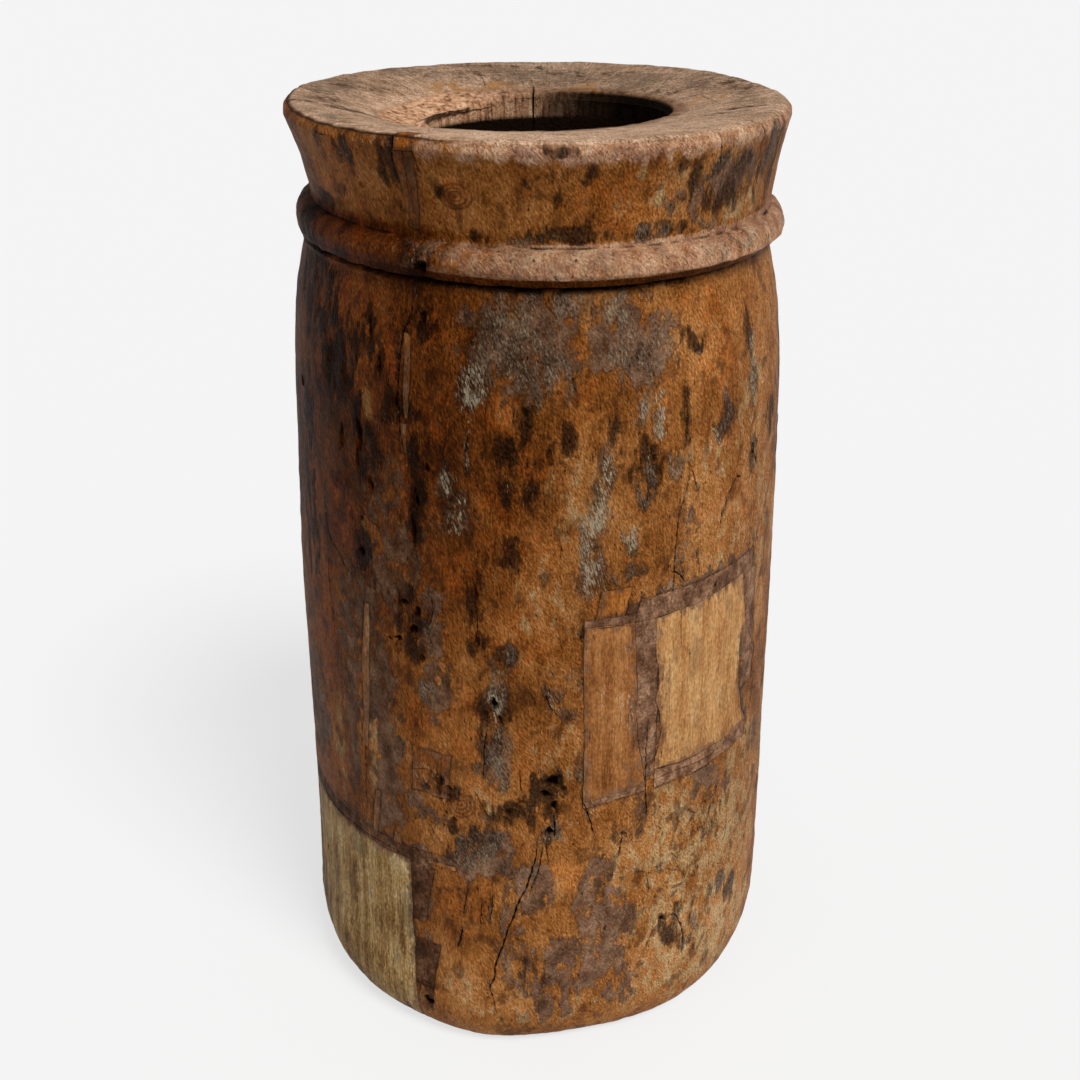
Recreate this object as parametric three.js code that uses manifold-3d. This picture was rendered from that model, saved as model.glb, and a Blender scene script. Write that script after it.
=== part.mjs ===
// A tall butter pot carved from one log: a hollowed wall with a solid foot, a bead round its shoulder, a
// flared neck and a dished rim with an oval mouth. Old damage is made good with let-in boards, drying cracks
// are wedged, and the seams are packed with filling. Millimetres, +Z up, origin at the middle of the foot
// face. The front is -Y. Azimuth is counted from the front, positive towards +X.
import * as THREE from "three";
import { mergeVertices } from "three/addons/utils/BufferGeometryUtils.js";
import Module from "manifold-3d";

// Heights of the carved log, from the foot face up or from the rim down
const potHeight = 500;
const footRound = 32;
const lowWallHeight = 80;
const middleWallHeight = 205;
const neckHeight = 43.5;
const beadHeight = 14;
const undercutHeight = 8;
const shoulderHeight = 14;
const shoulderRise = 34;
const upperWallRise = 88;
const lipRound = 5.5;
const rimDish = 8;
const grooveFloor = 2;
const beadCrestShare = 0.62;
const neckWaistShare = 0.45;
const neckWaistFlare = 0.38;
const rimMiddleShare = 0.45;
const rimMiddleDish = 0.4;
const mouthEdgeRise = 1;

// Radii of the outside
const footFaceRadius = 124;
const footRadius = 137.5;
const lowWallRadius = 136.4;
const middleWallRadius = 133.5;
const upperWallRadius = 129;
const lowShoulderRadius = 124.6;
const shoulderRadius = 120.8;
const cornerRadius = 117.5;
const beadEdgeRadius = 121.2;
const beadRadius = 122.6;
const grooveRadius = 114.8;
const lipRadius = 122.9;
const rimTopRadius = 117;

// The mouth is an oval set a little off the middle, and the hollow widens below it
const mouthLong = 124;
const mouthWide = 105;
const mouthTurn = 110;
const mouthOffsetX = 3;
const mouthOffsetY = 7;
const mouthRound = 4;
const mouthDepth = 74;
const hollowRadius = 97;
const hollowShoulder = 46;
const hollowFloorRound = 48;
const bottomThickness = 45;

// What the hand tools left uneven: the groove and bead run lower on the right, and the neck is set over to it
const grooveLean = 5.2;
const beadLean = 8;
const cornerLean = 2;
const rimLean = 0.6;
const neckSway = 1.5;
const shoulderSway = -0.6;
const scoopAzimuth = -98;
const scoopSpread = 34;
const scoopDepth = 5;
const hewnFlats = [
  { azimuth: 13, spread: 13, depth: 4.3, height: 0, reach: 46 },
  { azimuth: 38, spread: 9, depth: 0.6, height: 0, reach: 30 },
  { azimuth: 68, spread: 14, depth: 1.6, height: 0, reach: 24 },
  { azimuth: -52, spread: 22, depth: -3, height: 0, reach: 34 },
  { azimuth: -12, spread: 9, depth: -1.6, height: 0, reach: 30 },
  { azimuth: 128, spread: 24, depth: 3, height: 60, reach: 110 },
  { azimuth: -150, spread: 20, depth: 2.5, height: 290, reach: 130 },
  { azimuth: 60, spread: 16, depth: 1, height: 330, reach: 90 },
  { azimuth: -88, spread: 20, depth: -1.2, height: 265, reach: 50 },
  { azimuth: -128, spread: 24, depth: -4.6, height: 500, reach: 14 },
  { azimuth: 134, spread: 24, depth: -4.2, height: 500, reach: 14 },
  { azimuth: -172, spread: 18, depth: 2, height: 500, reach: 14 },
  { azimuth: -110, spread: 11, depth: -2.8, height: 500, reach: 14 },
  { azimuth: 156, spread: 16, depth: -2.4, height: 500, reach: 14 },
];

// How finely the round surfaces are cut into faces
const sectors = 64;
const nailSectors = 16;
const faceWidth = 13;
const wallRings = 17;
const footRings = 5;
const edgeRings = 4;

// Boards, wedges and fillings: depth into the wall, and the running gap that keeps neighbours apart
const clearance = 0.3;
const handCutSkew = 1;
const boardDepth = 16;
const smallBoardDepth = 10;
const wedgeDepth = 14;
const sliverDepth = 9;
const fillingDepth = 7;
const seamFilling = 4;

// Corners of the repairs. Girth is measured round the outside from the front line, positive to the right
const rightPatchLeft = 61.5;
const rightPatchWidth = 70;
const rightPatchBottom = 182;
const rightPatchHeight = 91;
const rightPatchLean = 3.5;
const middlePatchLeft = 22.8;
const middlePatchWidth = 26;
const middlePatchSplay = 8;
const middlePatchHeight = 101;
const upperShimWidth = 15;
const upperShimHeight = 15;
const upperShimLean = 4;
const topFillingHeight = 12;
const bottomFillingHeight = 10;
const sideFillingWidth = 12;
const sideFillingHeight = 68;
const footPatchRight = -70;
const footPatchWidth = 108;
const footPatchHeight = 121;
const footPatchSlant = 3;
const footTopFillingHeight = 9;
const footSideFillingWidth = 14;
const footSideFillingHeight = 40;
const footLowFillingWidth = 16;
const footLowFillingFoot = 11.2;
const footLowFillingHeight = 32;
const footLowFillingBottom = 36;
const squarePatchLeft = -68.5;
const squarePatchWidth = 22;
const squarePatchBottom = 169;
const squarePatchHeight = 27;

// The drying crack that runs down from the rim, with its wedges and slivers
const crackGirth = -65.5;
const crackLean = 3;
const capWidth = 10.5;
const capHeight = 6.5;
const leftWedgeWidth = 6;
const leftWedgeHeight = 28;
const leftWedgeTip = 1.4;
const rightWedgeWidth = 6;
const upperSliverWidth = 3.6;
const upperSliverHeight = 39;
const upperSliverDrop = 22;
const lowerSliverWidth = 3;
const lowerSliverHeight = 14;
const sliverSpacing = 3;
const leftSliverGirth = -97;
const leftSliverWidth = 3.4;
const leftSliverHeight = 88;
const leftSliverBottom = 182;
const leftSliverLean = 6;
const leftSliverSwell = 1.6;
const shortSliverGirth = -94;
const shortSliverWidth = 3.2;
const shortSliverHeight = 29;
const shortSliverGap = 24;
const shortSliverLean = 3.6;
const shortSliverSwell = 1;
const chipWidth = 13;
const chipHeight = 2.8;
const footChipRise = 2;
const smallChipWidth = 5.5;
const smallChipHeight = 6.5;
const smallChipGirth = -82;

// The nail that pins the foot: its head lies sunk at the bottom of a wider hole
const nailGirth = -62;
const nailHeight = 26;
const nailHoleRadius = 3.4;
const nailHoleDepth = 4;
const nailHeadRadius = 2.4;
const nailHeadHeight = 1.2;
const nailHeadBevel = 0.25;
const nailShankRadius = 1.5;
const nailLength = 16;

const degree = Math.PI / 180;
const cornerHeight = potHeight - neckHeight - beadHeight - undercutHeight;
const grooveHeight = potHeight - neckHeight;
const beadMiddle = grooveHeight - beadCrestShare * beadHeight;
const mouthRadius = (mouthLong + mouthWide) / 4;
const mouthOval = (mouthLong - mouthWide) / 4;
const mouthEdgeHeight = potHeight - rimDish;
const hollowTop = mouthEdgeHeight - mouthDepth;

const wasm = await Module();
wasm.setup();

// Points along a smooth curve through the given ones, without the first
function smooth(points, count) {
  const curve = new THREE.SplineCurve(points.map(([r, z]) => new THREE.Vector2(r, z)));
  return curve.getPoints(count).slice(1);
}

// Points of a quarter of an ellipse, from one end to the other, without the first
function quarter(fromR, fromZ, toR, toZ, startsFlat, count) {
  return Array.from({ length: count }, (_, i) => {
    const turn = ((i + 1) / count) * (Math.PI / 2);
    const along = Math.sin(turn);
    const across = 1 - Math.cos(turn);
    const [shareR, shareZ] = startsFlat ? [along, across] : [across, along];
    return new THREE.Vector2(fromR + (toR - fromR) * shareR, fromZ + (toZ - fromZ) * shareZ);
  });
}

// The log's outline from the middle of the foot face, up the outside and down the hollow to the axis
const outside = [
  new THREE.Vector2(footFaceRadius, 0),
  ...quarter(footFaceRadius, 0, footRadius, footRound, true, footRings),
  ...smooth(
    [
      [footRadius, footRound],
      [lowWallRadius, lowWallHeight],
      [middleWallRadius, middleWallHeight],
      [upperWallRadius, cornerHeight - upperWallRise],
      [lowShoulderRadius, cornerHeight - shoulderRise],
      [shoulderRadius, cornerHeight - shoulderHeight],
      [cornerRadius, cornerHeight],
    ],
    wallRings,
  ),
  new THREE.Vector2(beadEdgeRadius, grooveHeight - beadHeight),
  new THREE.Vector2(beadRadius, beadMiddle),
  ...quarter(beadRadius, beadMiddle, grooveRadius, grooveHeight, false, edgeRings),
  new THREE.Vector2(grooveRadius, grooveHeight + grooveFloor),
  ...smooth(
    [
      [grooveRadius, grooveHeight + grooveFloor],
      [
        THREE.MathUtils.lerp(grooveRadius, lipRadius, neckWaistFlare),
        grooveHeight + neckWaistShare * neckHeight,
      ],
      [lipRadius, potHeight - lipRound],
    ],
    edgeRings,
  ),
];
const rim = [
  ...quarter(lipRadius, potHeight - lipRound, rimTopRadius, potHeight, false, edgeRings),
  ...smooth(
    [
      [rimTopRadius, potHeight],
      [
        THREE.MathUtils.lerp(rimTopRadius, mouthRadius, rimMiddleShare),
        potHeight - rimMiddleDish * rimDish,
      ],
      [mouthRadius + mouthRound, mouthEdgeHeight + mouthEdgeRise],
    ],
    edgeRings,
  ),
  new THREE.Vector2(mouthRadius, mouthEdgeHeight - mouthRound),
];
const hollow = [
  new THREE.Vector2(mouthRadius, (mouthEdgeHeight + hollowTop) / 2),
  new THREE.Vector2(mouthRadius, hollowTop),
  ...quarter(mouthRadius, hollowTop, hollowRadius, hollowTop - hollowShoulder, true, edgeRings),
  new THREE.Vector2(hollowRadius, (hollowTop - hollowShoulder + bottomThickness + hollowFloorRound) / 2),
  new THREE.Vector2(hollowRadius, bottomThickness + hollowFloorRound),
  ...quarter(
    hollowRadius,
    bottomThickness + hollowFloorRound,
    hollowRadius / 3,
    bottomThickness,
    false,
    footRings,
  ),
];
const profile = [
  new THREE.Vector2(0, 0),
  ...outside,
  ...rim,
  ...hollow,
  new THREE.Vector2(0, bottomThickness),
];

// A value between named places: each entry is [place, value], in rising order of place
function between(places, at) {
  const next = places.findIndex(([place]) => place > at);
  if (next === 0) return places[0][1];
  if (next < 0) return places.at(-1)[1];
  const [[from, low], [to, high]] = [places[next - 1], places[next]];
  return THREE.MathUtils.mapLinear(at, from, to, low, high);
}

const leans = [
  [cornerHeight - upperWallRise, 0],
  [cornerHeight, cornerLean],
  [beadMiddle, beadLean],
  [grooveHeight, grooveLean],
  [potHeight - lipRound, rimLean],
  [potHeight, rimLean],
];
const sways = [
  [cornerHeight - upperWallRise, 0],
  [cornerHeight, shoulderSway],
  [beadMiddle, neckSway],
  [grooveHeight + lipRound, neckSway],
  [potHeight - lipRound, 0],
];

const bell = (distance, spread) => Math.exp(-0.5 * (distance / spread) ** 2);
const turnBetween = (a, b) => THREE.MathUtils.euclideanModulo(a - b + 180, 360) - 180;

// How far the hewn flats lie inside the round outline at one place of the outside
function flatDepth(azimuth, height) {
  return hewnFlats.reduce(
    (sum, flat) =>
      sum +
      flat.depth *
        bell(turnBetween(azimuth, flat.azimuth), flat.spread) *
        bell(height - flat.height, flat.reach),
    0,
  );
}

// Moves one point of the turned shape to where the carver left it
function asCarved(radius, azimuth, height, ofMouth, isOutside) {
  const oval = ofMouth * mouthOval * Math.cos(2 * (azimuth - mouthTurn) * degree);
  const flat = isOutside ? flatDepth(azimuth, height) : 0;
  const r = radius + oval - flat * Math.min(1, radius / footFaceRadius);
  const a = azimuth * degree;
  const outer = isOutside ? 1 - ofMouth : 0;
  const sway = outer * between(sways, height);
  const lean = (outer * between(leans, height) * (1 + Math.sin(a))) / 2;
  const scoop =
    isOutside && height > grooveHeight && radius < rimTopRadius
      ? scoopDepth * bell(turnBetween(azimuth, scoopAzimuth), scoopSpread) * ofMouth
      : 0;
  return new THREE.Vector3(
    r * Math.sin(a) + ofMouth * mouthOffsetX + sway,
    -r * Math.cos(a) + ofMouth * mouthOffsetY,
    height - lean - scoop,
  );
}

// How far each ring of the outline follows the mouth's oval: not at all outside, and fully in the mouth
function mouthShare(index) {
  const firstOfRim = 1 + outside.length;
  const firstOfHollow = firstOfRim + rim.length;
  if (index < firstOfRim) return 0;
  const radius = profile[index].x;
  if (index < firstOfHollow) {
    return THREE.MathUtils.smoothstep(rimTopRadius - radius, 0, rimTopRadius - mouthRadius);
  }
  const height = profile[index].y;
  return THREE.MathUtils.smoothstep(height, hollowTop - hollowShoulder, hollowTop);
}

function carvedLog() {
  const turned = new THREE.LatheGeometry(profile, sectors);
  const position = turned.getAttribute("position");
  for (let i = 0; i < position.count; i++) {
    const ring = i % profile.length;
    const sector = Math.floor(i / profile.length) % sectors;
    const isOutside = ring <= outside.length + rim.length;
    const { x: radius, y: height } = profile[ring];
    const point = asCarved(radius, (sector * 360) / sectors, height, mouthShare(ring), isOutside);
    if (radius === 0) point.setX(0).setY(0);
    position.setXYZ(i, point.x, point.y, point.z);
  }
  return turned;
}

function solidOf(geometry) {
  geometry.deleteAttribute("normal");
  geometry.deleteAttribute("uv");
  const merged = mergeVertices(geometry, 1e-4);
  return new wasm.Manifold(
    new wasm.Mesh({
      numProp: 3,
      vertProperties: merged.getAttribute("position").array,
      triVerts: new Uint32Array(merged.index.array),
    }),
  );
}

function geometryOf(solid) {
  const mesh = solid.getMesh();
  const geometry = new THREE.BufferGeometry();
  geometry.setAttribute("position", new THREE.BufferAttribute(mesh.vertProperties, mesh.numProp));
  geometry.setIndex(new THREE.BufferAttribute(mesh.triVerts, 1));
  geometry.computeVertexNormals();
  return geometry;
}

// The outside's radius at a height, before the hand tools' unevenness
const outsideRadius = (height) => between(outside.map((p) => [p.y, p.x]), height);

// A block let into the wall from outside, between four corners on the unrolled outside. Its sides run towards
// the axis, its back follows the round of the wall, and grow makes it larger all round and deeper.
function letInBlock({ corners, depth, swell = 0 }, grow) {
  const [bottomLeft, bottomRight, topRight, topLeft] = corners;
  const wide = (bottomRight[0] - bottomLeft[0] + topRight[0] - topLeft[0]) / 2;
  const tall = (topLeft[1] - bottomLeft[1] + topRight[1] - bottomRight[1]) / 2;
  const middle = (topLeft[1] + bottomRight[1]) / 2;
  const inner = outsideRadius(Math.max(middle, footRound)) - depth - grow;
  const outer = footRadius + boardDepth;
  const columns = Math.ceil(wide / faceWidth);
  const rows = swell ? Math.ceil(tall / faceWidth) : 1;
  const block = new THREE.BoxGeometry(1 + (2 * grow) / wide, 1 + (2 * grow) / tall, 1, columns, rows, 1);
  const position = block.getAttribute("position");
  for (let i = 0; i < position.count; i++) {
    const across = position.getX(i) + 0.5;
    const up = position.getY(i) + 0.5;
    const low = bottomLeft.map((v, k) => THREE.MathUtils.lerp(v, bottomRight[k], across));
    const high = topLeft.map((v, k) => THREE.MathUtils.lerp(v, topRight[k], across));
    const bulge = swell * (2 * across - 1) * (1 - (2 * up - 1) ** 2);
    const girth = THREE.MathUtils.lerp(low[0], high[0], up) + bulge;
    const height = THREE.MathUtils.lerp(low[1], high[1], up);
    const radius = THREE.MathUtils.lerp(inner, outer, position.getZ(i) + 0.5);
    const a = girth / middleWallRadius;
    position.setXYZ(i, radius * Math.sin(a), -radius * Math.cos(a), height);
  }
  return solidOf(block);
}

// The nail and its hole are turned shapes that lie along a radius of the foot
function turnedIntoWall(points, girth, height) {
  const shape = new THREE.LatheGeometry(points.map(([r, along]) => new THREE.Vector2(r, along)), nailSectors);
  const a = girth / middleWallRadius;
  const surface = outsideRadius(height) - flatDepth(a / degree, height);
  const inward = new THREE.Vector3(-Math.sin(a), Math.cos(a), 0);
  shape.applyQuaternion(new THREE.Quaternion().setFromUnitVectors(new THREE.Vector3(0, -1, 0), inward));
  shape.translate(-inward.x * surface, -inward.y * surface, height);
  return solidOf(shape);
}

const nailTop = -nailHoleDepth + nailHeadHeight;
const nailPoints = [
  [0, nailTop - nailLength],
  [nailShankRadius, nailTop - nailLength + nailShankRadius],
  [nailShankRadius, nailTop - nailHeadHeight],
  [nailHeadRadius, nailTop - nailHeadHeight],
  [nailHeadRadius - nailHeadBevel, nailTop],
  [0, nailTop + nailHeadBevel],
];
const nailHolePoints = [
  [0, nailTop - nailLength - clearance],
  [nailShankRadius + clearance, nailTop - nailLength - clearance],
  [nailShankRadius + clearance, -nailHoleDepth - clearance],
  [nailHoleRadius, -nailHoleDepth - clearance],
  [nailHoleRadius, nailLength],
  [0, nailLength],
];

// Places that more than one repair shares
const repairTop = rightPatchBottom + rightPatchHeight;
const middlePatchRight = middlePatchLeft + middlePatchWidth;
const middlePatchBottom = repairTop - middlePatchHeight;
const rightPatchRight = rightPatchLeft + rightPatchWidth;
const topFillingLeft = middlePatchRight + clearance;
const shimBottom = repairTop + seamFilling + clearance;
const shimLeft = middlePatchLeft + (middlePatchWidth - upperShimWidth) / 2;
const footPatchLeft = footPatchRight - footPatchWidth;
const footChipLeft = footPatchRight + footSideFillingWidth - handCutSkew;
const belowFoot = -footRound / 4;
const footTopFillingTop = footPatchHeight + footTopFillingHeight;
const wedgeTop = potHeight - capHeight;
const crackAtGroove = crackGirth - crackLean;
const crackAt = (height) =>
  THREE.MathUtils.mapLinear(height, grooveHeight, wedgeTop, crackAtGroove, crackGirth);
const wedgeFoot = grooveHeight + grooveFloor;
const leftWedgeFoot = wedgeTop - leftWedgeHeight;
const sliverTop = cornerHeight - upperSliverDrop;
const lowerSliverTop = sliverTop - upperSliverHeight - sliverSpacing;
const shortSliverTop = leftSliverBottom - shortSliverGap;

function upright(left, right, bottom, top, topShift = 0) {
  return [
    [left, bottom],
    [right, bottom],
    [right + topShift, top],
    [left + topShift, top],
  ];
}

// Wood colours: pale boards, redder slivers and the purple-brown filling
const woodRoughness = 0.78;
const nailRoughness = 0.55;
const colours = {
  log: 0x8a5a30,
  paleBoard: 0xc49a58,
  redBoard: 0x9a6636,
  greyBoard: 0x8f7a4e,
  wedge: 0xa4622c,
  sliver: 0x96603a,
  filling: 0x4f3a2e,
  nail: 0x3a3632,
};

// In order of fitting: each is cut back by those before it
const inlays = [
  {
    name: "right_patch",
    colour: colours.paleBoard,
    depth: boardDepth,
    corners: [
      [rightPatchLeft, rightPatchBottom],
      [rightPatchRight + rightPatchLean, rightPatchBottom - handCutSkew],
      [rightPatchRight - rightPatchLean / 2, repairTop],
      [rightPatchLeft, repairTop],
    ],
  },
  {
    name: "middle_patch",
    colour: colours.redBoard,
    depth: boardDepth,
    corners: [
      [middlePatchLeft, middlePatchBottom],
      [middlePatchRight + middlePatchSplay, middlePatchBottom + middlePatchSplay / 2],
      [middlePatchRight, repairTop],
      [middlePatchLeft, repairTop],
    ],
  },
  {
    name: "upper_shim",
    colour: colours.wedge,
    depth: smallBoardDepth,
    corners: upright(
      shimLeft,
      shimLeft + upperShimWidth,
      shimBottom,
      shimBottom + upperShimHeight,
      upperShimLean,
    ),
  },
  {
    name: "foot_patch",
    colour: colours.greyBoard,
    depth: boardDepth,
    corners: [
      [footPatchLeft, belowFoot],
      [footPatchRight, belowFoot],
      [footPatchRight - handCutSkew, footPatchHeight],
      [footPatchLeft, footPatchHeight - footPatchSlant],
    ],
  },
  {
    name: "square_patch",
    colour: colours.redBoard,
    depth: smallBoardDepth,
    corners: upright(
      squarePatchLeft,
      squarePatchLeft + squarePatchWidth,
      squarePatchBottom,
      squarePatchBottom + squarePatchHeight,
      handCutSkew,
    ),
  },
  {
    name: "neck_wedge_cap",
    colour: colours.wedge,
    depth: wedgeDepth,
    corners: upright(
      crackGirth - capWidth / 2,
      crackGirth + capWidth / 2,
      wedgeTop + clearance,
      potHeight + lipRound,
    ),
  },
  {
    name: "neck_wedge_left",
    colour: colours.wedge,
    depth: wedgeDepth,
    corners: [
      [crackAt(leftWedgeFoot) - leftWedgeTip, leftWedgeFoot],
      [crackAt(leftWedgeFoot), leftWedgeFoot],
      [crackGirth, wedgeTop],
      [crackGirth - leftWedgeWidth, wedgeTop],
    ],
  },
  {
    name: "neck_wedge_right",
    colour: colours.sliver,
    depth: wedgeDepth,
    corners: [
      [crackAtGroove, wedgeFoot],
      [crackAtGroove + rightWedgeWidth, wedgeFoot],
      [crackGirth + rightWedgeWidth, wedgeTop],
      [crackGirth, wedgeTop],
    ],
  },
  {
    name: "shoulder_sliver",
    colour: colours.sliver,
    depth: sliverDepth,
    corners: [
      [crackAtGroove + handCutSkew, sliverTop - upperSliverHeight],
      [crackAtGroove + handCutSkew + upperSliverWidth / 2, sliverTop - upperSliverHeight],
      [crackAtGroove + upperSliverWidth, sliverTop],
      [crackAtGroove, sliverTop],
    ],
  },
  {
    name: "shoulder_sliver_lower",
    colour: colours.sliver,
    depth: sliverDepth,
    corners: upright(
      crackAtGroove - handCutSkew,
      crackAtGroove - handCutSkew + lowerSliverWidth,
      lowerSliverTop - lowerSliverHeight,
      lowerSliverTop,
    ),
  },
  {
    name: "left_sliver",
    colour: colours.sliver,
    depth: sliverDepth,
    swell: leftSliverSwell,
    corners: upright(
      leftSliverGirth - leftSliverLean,
      leftSliverGirth - leftSliverLean + leftSliverWidth,
      leftSliverBottom,
      leftSliverBottom + leftSliverHeight,
      leftSliverLean,
    ),
  },
  {
    name: "left_sliver_lower",
    colour: colours.sliver,
    depth: sliverDepth,
    swell: shortSliverSwell,
    corners: upright(
      shortSliverGirth - shortSliverLean,
      shortSliverGirth - shortSliverLean + shortSliverWidth,
      shortSliverTop - shortSliverHeight,
      shortSliverTop,
      shortSliverLean,
    ),
  },
  {
    name: "foot_chip",
    colour: colours.wedge,
    depth: fillingDepth,
    corners: upright(
      footChipLeft,
      footChipLeft + chipWidth,
      footPatchHeight + footChipRise,
      footPatchHeight + footChipRise + chipHeight,
    ),
  },
  {
    name: "small_chip",
    colour: colours.sliver,
    depth: fillingDepth,
    corners: upright(
      smallChipGirth,
      smallChipGirth + smallChipWidth,
      footTopFillingTop - handCutSkew,
      footTopFillingTop - handCutSkew + smallChipHeight,
    ),
  },
  {
    name: "right_patch_top_filling",
    colour: colours.filling,
    depth: fillingDepth,
    corners: [
      [topFillingLeft, repairTop],
      [rightPatchRight + sideFillingWidth / 2, repairTop],
      [rightPatchRight + sideFillingWidth / 2, repairTop + topFillingHeight],
      [topFillingLeft + upperShimLean, repairTop + topFillingHeight],
    ],
  },
  {
    name: "right_patch_side_filling",
    colour: colours.filling,
    depth: fillingDepth,
    corners: upright(
      rightPatchRight - rightPatchLean,
      rightPatchRight + sideFillingWidth,
      repairTop - clearance - sideFillingHeight,
      repairTop - clearance,
    ),
  },
  {
    name: "middle_filling",
    colour: colours.filling,
    depth: fillingDepth,
    corners: [
      [middlePatchRight, middlePatchBottom + middlePatchSplay],
      [rightPatchLeft + handCutSkew, middlePatchBottom + middlePatchSplay],
      [rightPatchLeft + handCutSkew, repairTop - clearance],
      [middlePatchRight - handCutSkew, repairTop - clearance],
    ],
  },
  {
    name: "right_patch_bottom_filling",
    colour: colours.filling,
    depth: fillingDepth,
    corners: [
      [rightPatchLeft + handCutSkew, rightPatchBottom - bottomFillingHeight],
      [rightPatchRight + rightPatchLean, rightPatchBottom - bottomFillingHeight],
      [rightPatchRight + rightPatchLean, rightPatchBottom - handCutSkew],
      [rightPatchLeft + handCutSkew, rightPatchBottom],
    ],
  },
  {
    name: "middle_patch_top_filling",
    colour: colours.filling,
    depth: fillingDepth,
    corners: upright(middlePatchLeft, topFillingLeft + handCutSkew, repairTop, repairTop + seamFilling),
  },
  {
    name: "middle_patch_bottom_filling",
    colour: colours.filling,
    depth: fillingDepth,
    corners: [
      [middlePatchLeft, middlePatchBottom - seamFilling],
      [middlePatchRight + middlePatchSplay, middlePatchBottom - seamFilling + middlePatchSplay / 2],
      [middlePatchRight + middlePatchSplay, middlePatchBottom + middlePatchSplay / 2],
      [middlePatchLeft, middlePatchBottom],
    ],
  },
  {
    name: "foot_patch_top_filling",
    colour: colours.filling,
    depth: fillingDepth,
    corners: [
      [footPatchLeft, footPatchHeight - footPatchSlant],
      [footChipLeft - handCutSkew, footPatchHeight],
      [footChipLeft - handCutSkew, footTopFillingTop],
      [footPatchLeft, footTopFillingTop - footPatchSlant],
    ],
  },
  {
    name: "foot_side_filling",
    colour: colours.filling,
    depth: fillingDepth,
    corners: [
      [footPatchRight - handCutSkew, footPatchHeight - footSideFillingHeight],
      [footPatchRight + footSideFillingWidth / 2, footPatchHeight - footSideFillingHeight],
      [footPatchRight + footSideFillingWidth, footPatchHeight - clearance],
      [footPatchRight - handCutSkew, footPatchHeight - clearance],
    ],
  },
  {
    name: "foot_side_filling_lower",
    colour: colours.filling,
    depth: fillingDepth,
    corners: [
      [footPatchRight - handCutSkew, footLowFillingBottom],
      [footPatchRight + footLowFillingFoot, footLowFillingBottom],
      [footPatchRight + footLowFillingWidth, footLowFillingBottom + footLowFillingHeight],
      [footPatchRight - handCutSkew, footLowFillingBottom + footLowFillingHeight],
    ],
  },
];

const pot = new THREE.Group();

function addPiece(name, solid, colour, roughness, metalness) {
  const material = new THREE.MeshStandardMaterial({ color: colour, roughness, metalness });
  const mesh = new THREE.Mesh(geometryOf(solid), material);
  mesh.name = name;
  pot.add(mesh);
}

// The nail's hole is bored first, then each inlay is fitted and its recess is cut from the log
const log = solidOf(carvedLog());
let recesses = turnedIntoWall(nailHolePoints, nailGirth, nailHeight);
for (const inlay of inlays) {
  const fitted = letInBlock(inlay, 0).intersect(log).subtract(recesses);
  addPiece(inlay.name, fitted, inlay.colour, woodRoughness, 0);
  recesses = recesses.add(letInBlock(inlay, clearance));
}
addPiece("pot_body", log.subtract(recesses), colours.log, woodRoughness, 0);
addPiece("foot_nail", turnedIntoWall(nailPoints, nailGirth, nailHeight), colours.nail, nailRoughness, 1);

export default pot;
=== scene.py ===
"""The look of a carved and much repaired butter pot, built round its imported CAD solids.

Lengths are millimetres until a mesh is made. Azimuth is counted from the front (-Y), positive towards +X.
Girth is the same turn measured round the wall at one fixed radius, so a place on the wall is (girth, height).
"""

import bpy
import numpy as np
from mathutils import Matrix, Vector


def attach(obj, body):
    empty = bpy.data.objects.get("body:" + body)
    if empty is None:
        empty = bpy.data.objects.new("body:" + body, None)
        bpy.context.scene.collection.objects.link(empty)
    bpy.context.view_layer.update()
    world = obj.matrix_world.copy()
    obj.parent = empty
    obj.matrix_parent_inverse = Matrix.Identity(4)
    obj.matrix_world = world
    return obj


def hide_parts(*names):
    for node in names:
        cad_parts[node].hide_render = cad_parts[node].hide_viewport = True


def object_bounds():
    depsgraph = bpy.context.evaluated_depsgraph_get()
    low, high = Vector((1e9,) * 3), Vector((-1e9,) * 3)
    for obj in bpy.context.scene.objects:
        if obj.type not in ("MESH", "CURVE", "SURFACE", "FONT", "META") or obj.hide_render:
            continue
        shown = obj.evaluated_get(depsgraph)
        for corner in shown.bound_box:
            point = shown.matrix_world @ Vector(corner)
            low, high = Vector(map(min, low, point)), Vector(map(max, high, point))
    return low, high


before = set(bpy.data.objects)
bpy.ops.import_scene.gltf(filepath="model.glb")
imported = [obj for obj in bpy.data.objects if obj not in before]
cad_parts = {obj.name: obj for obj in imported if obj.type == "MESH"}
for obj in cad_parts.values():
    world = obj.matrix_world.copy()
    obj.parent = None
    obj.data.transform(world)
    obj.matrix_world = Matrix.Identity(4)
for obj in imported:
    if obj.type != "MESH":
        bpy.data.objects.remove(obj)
cad_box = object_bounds()

# The photograph's camera, fitted to the outlines of rim, bead and foot: the image is square
camera_place = (0.001, -0.68226, 0.60344)
camera_pitch = 27.04
focal_length = 44.7
sensor_width = 36


def added(name, data):
    """A new object with this data, in the scene."""
    made = bpy.data.objects.new(name, data)
    bpy.context.scene.collection.objects.link(made)
    return made


camera_data = bpy.data.cameras.new("camera")
camera_data.lens = focal_length
camera_data.sensor_width = sensor_width
camera = added("camera", camera_data)
camera.location = camera_place
camera.rotation_euler = (np.radians(90 - camera_pitch), 0, 0)
bpy.context.scene.camera = camera

# Heights of the carved log
pot_height = 500
foot_round = 32
low_wall_height = 80
middle_wall_height = 205
neck_height = 43.5
bead_height = 14
undercut_height = 8
shoulder_height = 14
shoulder_rise = 34
upper_wall_rise = 88
lip_round = 5.5
rim_dish = 8
groove_floor = 2
corner_height = pot_height - neck_height - bead_height - undercut_height
groove_height = pot_height - neck_height
bead_middle = groove_height - 0.62 * bead_height
upper_wall_height = corner_height - upper_wall_rise
lip_height = pot_height - lip_round

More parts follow.
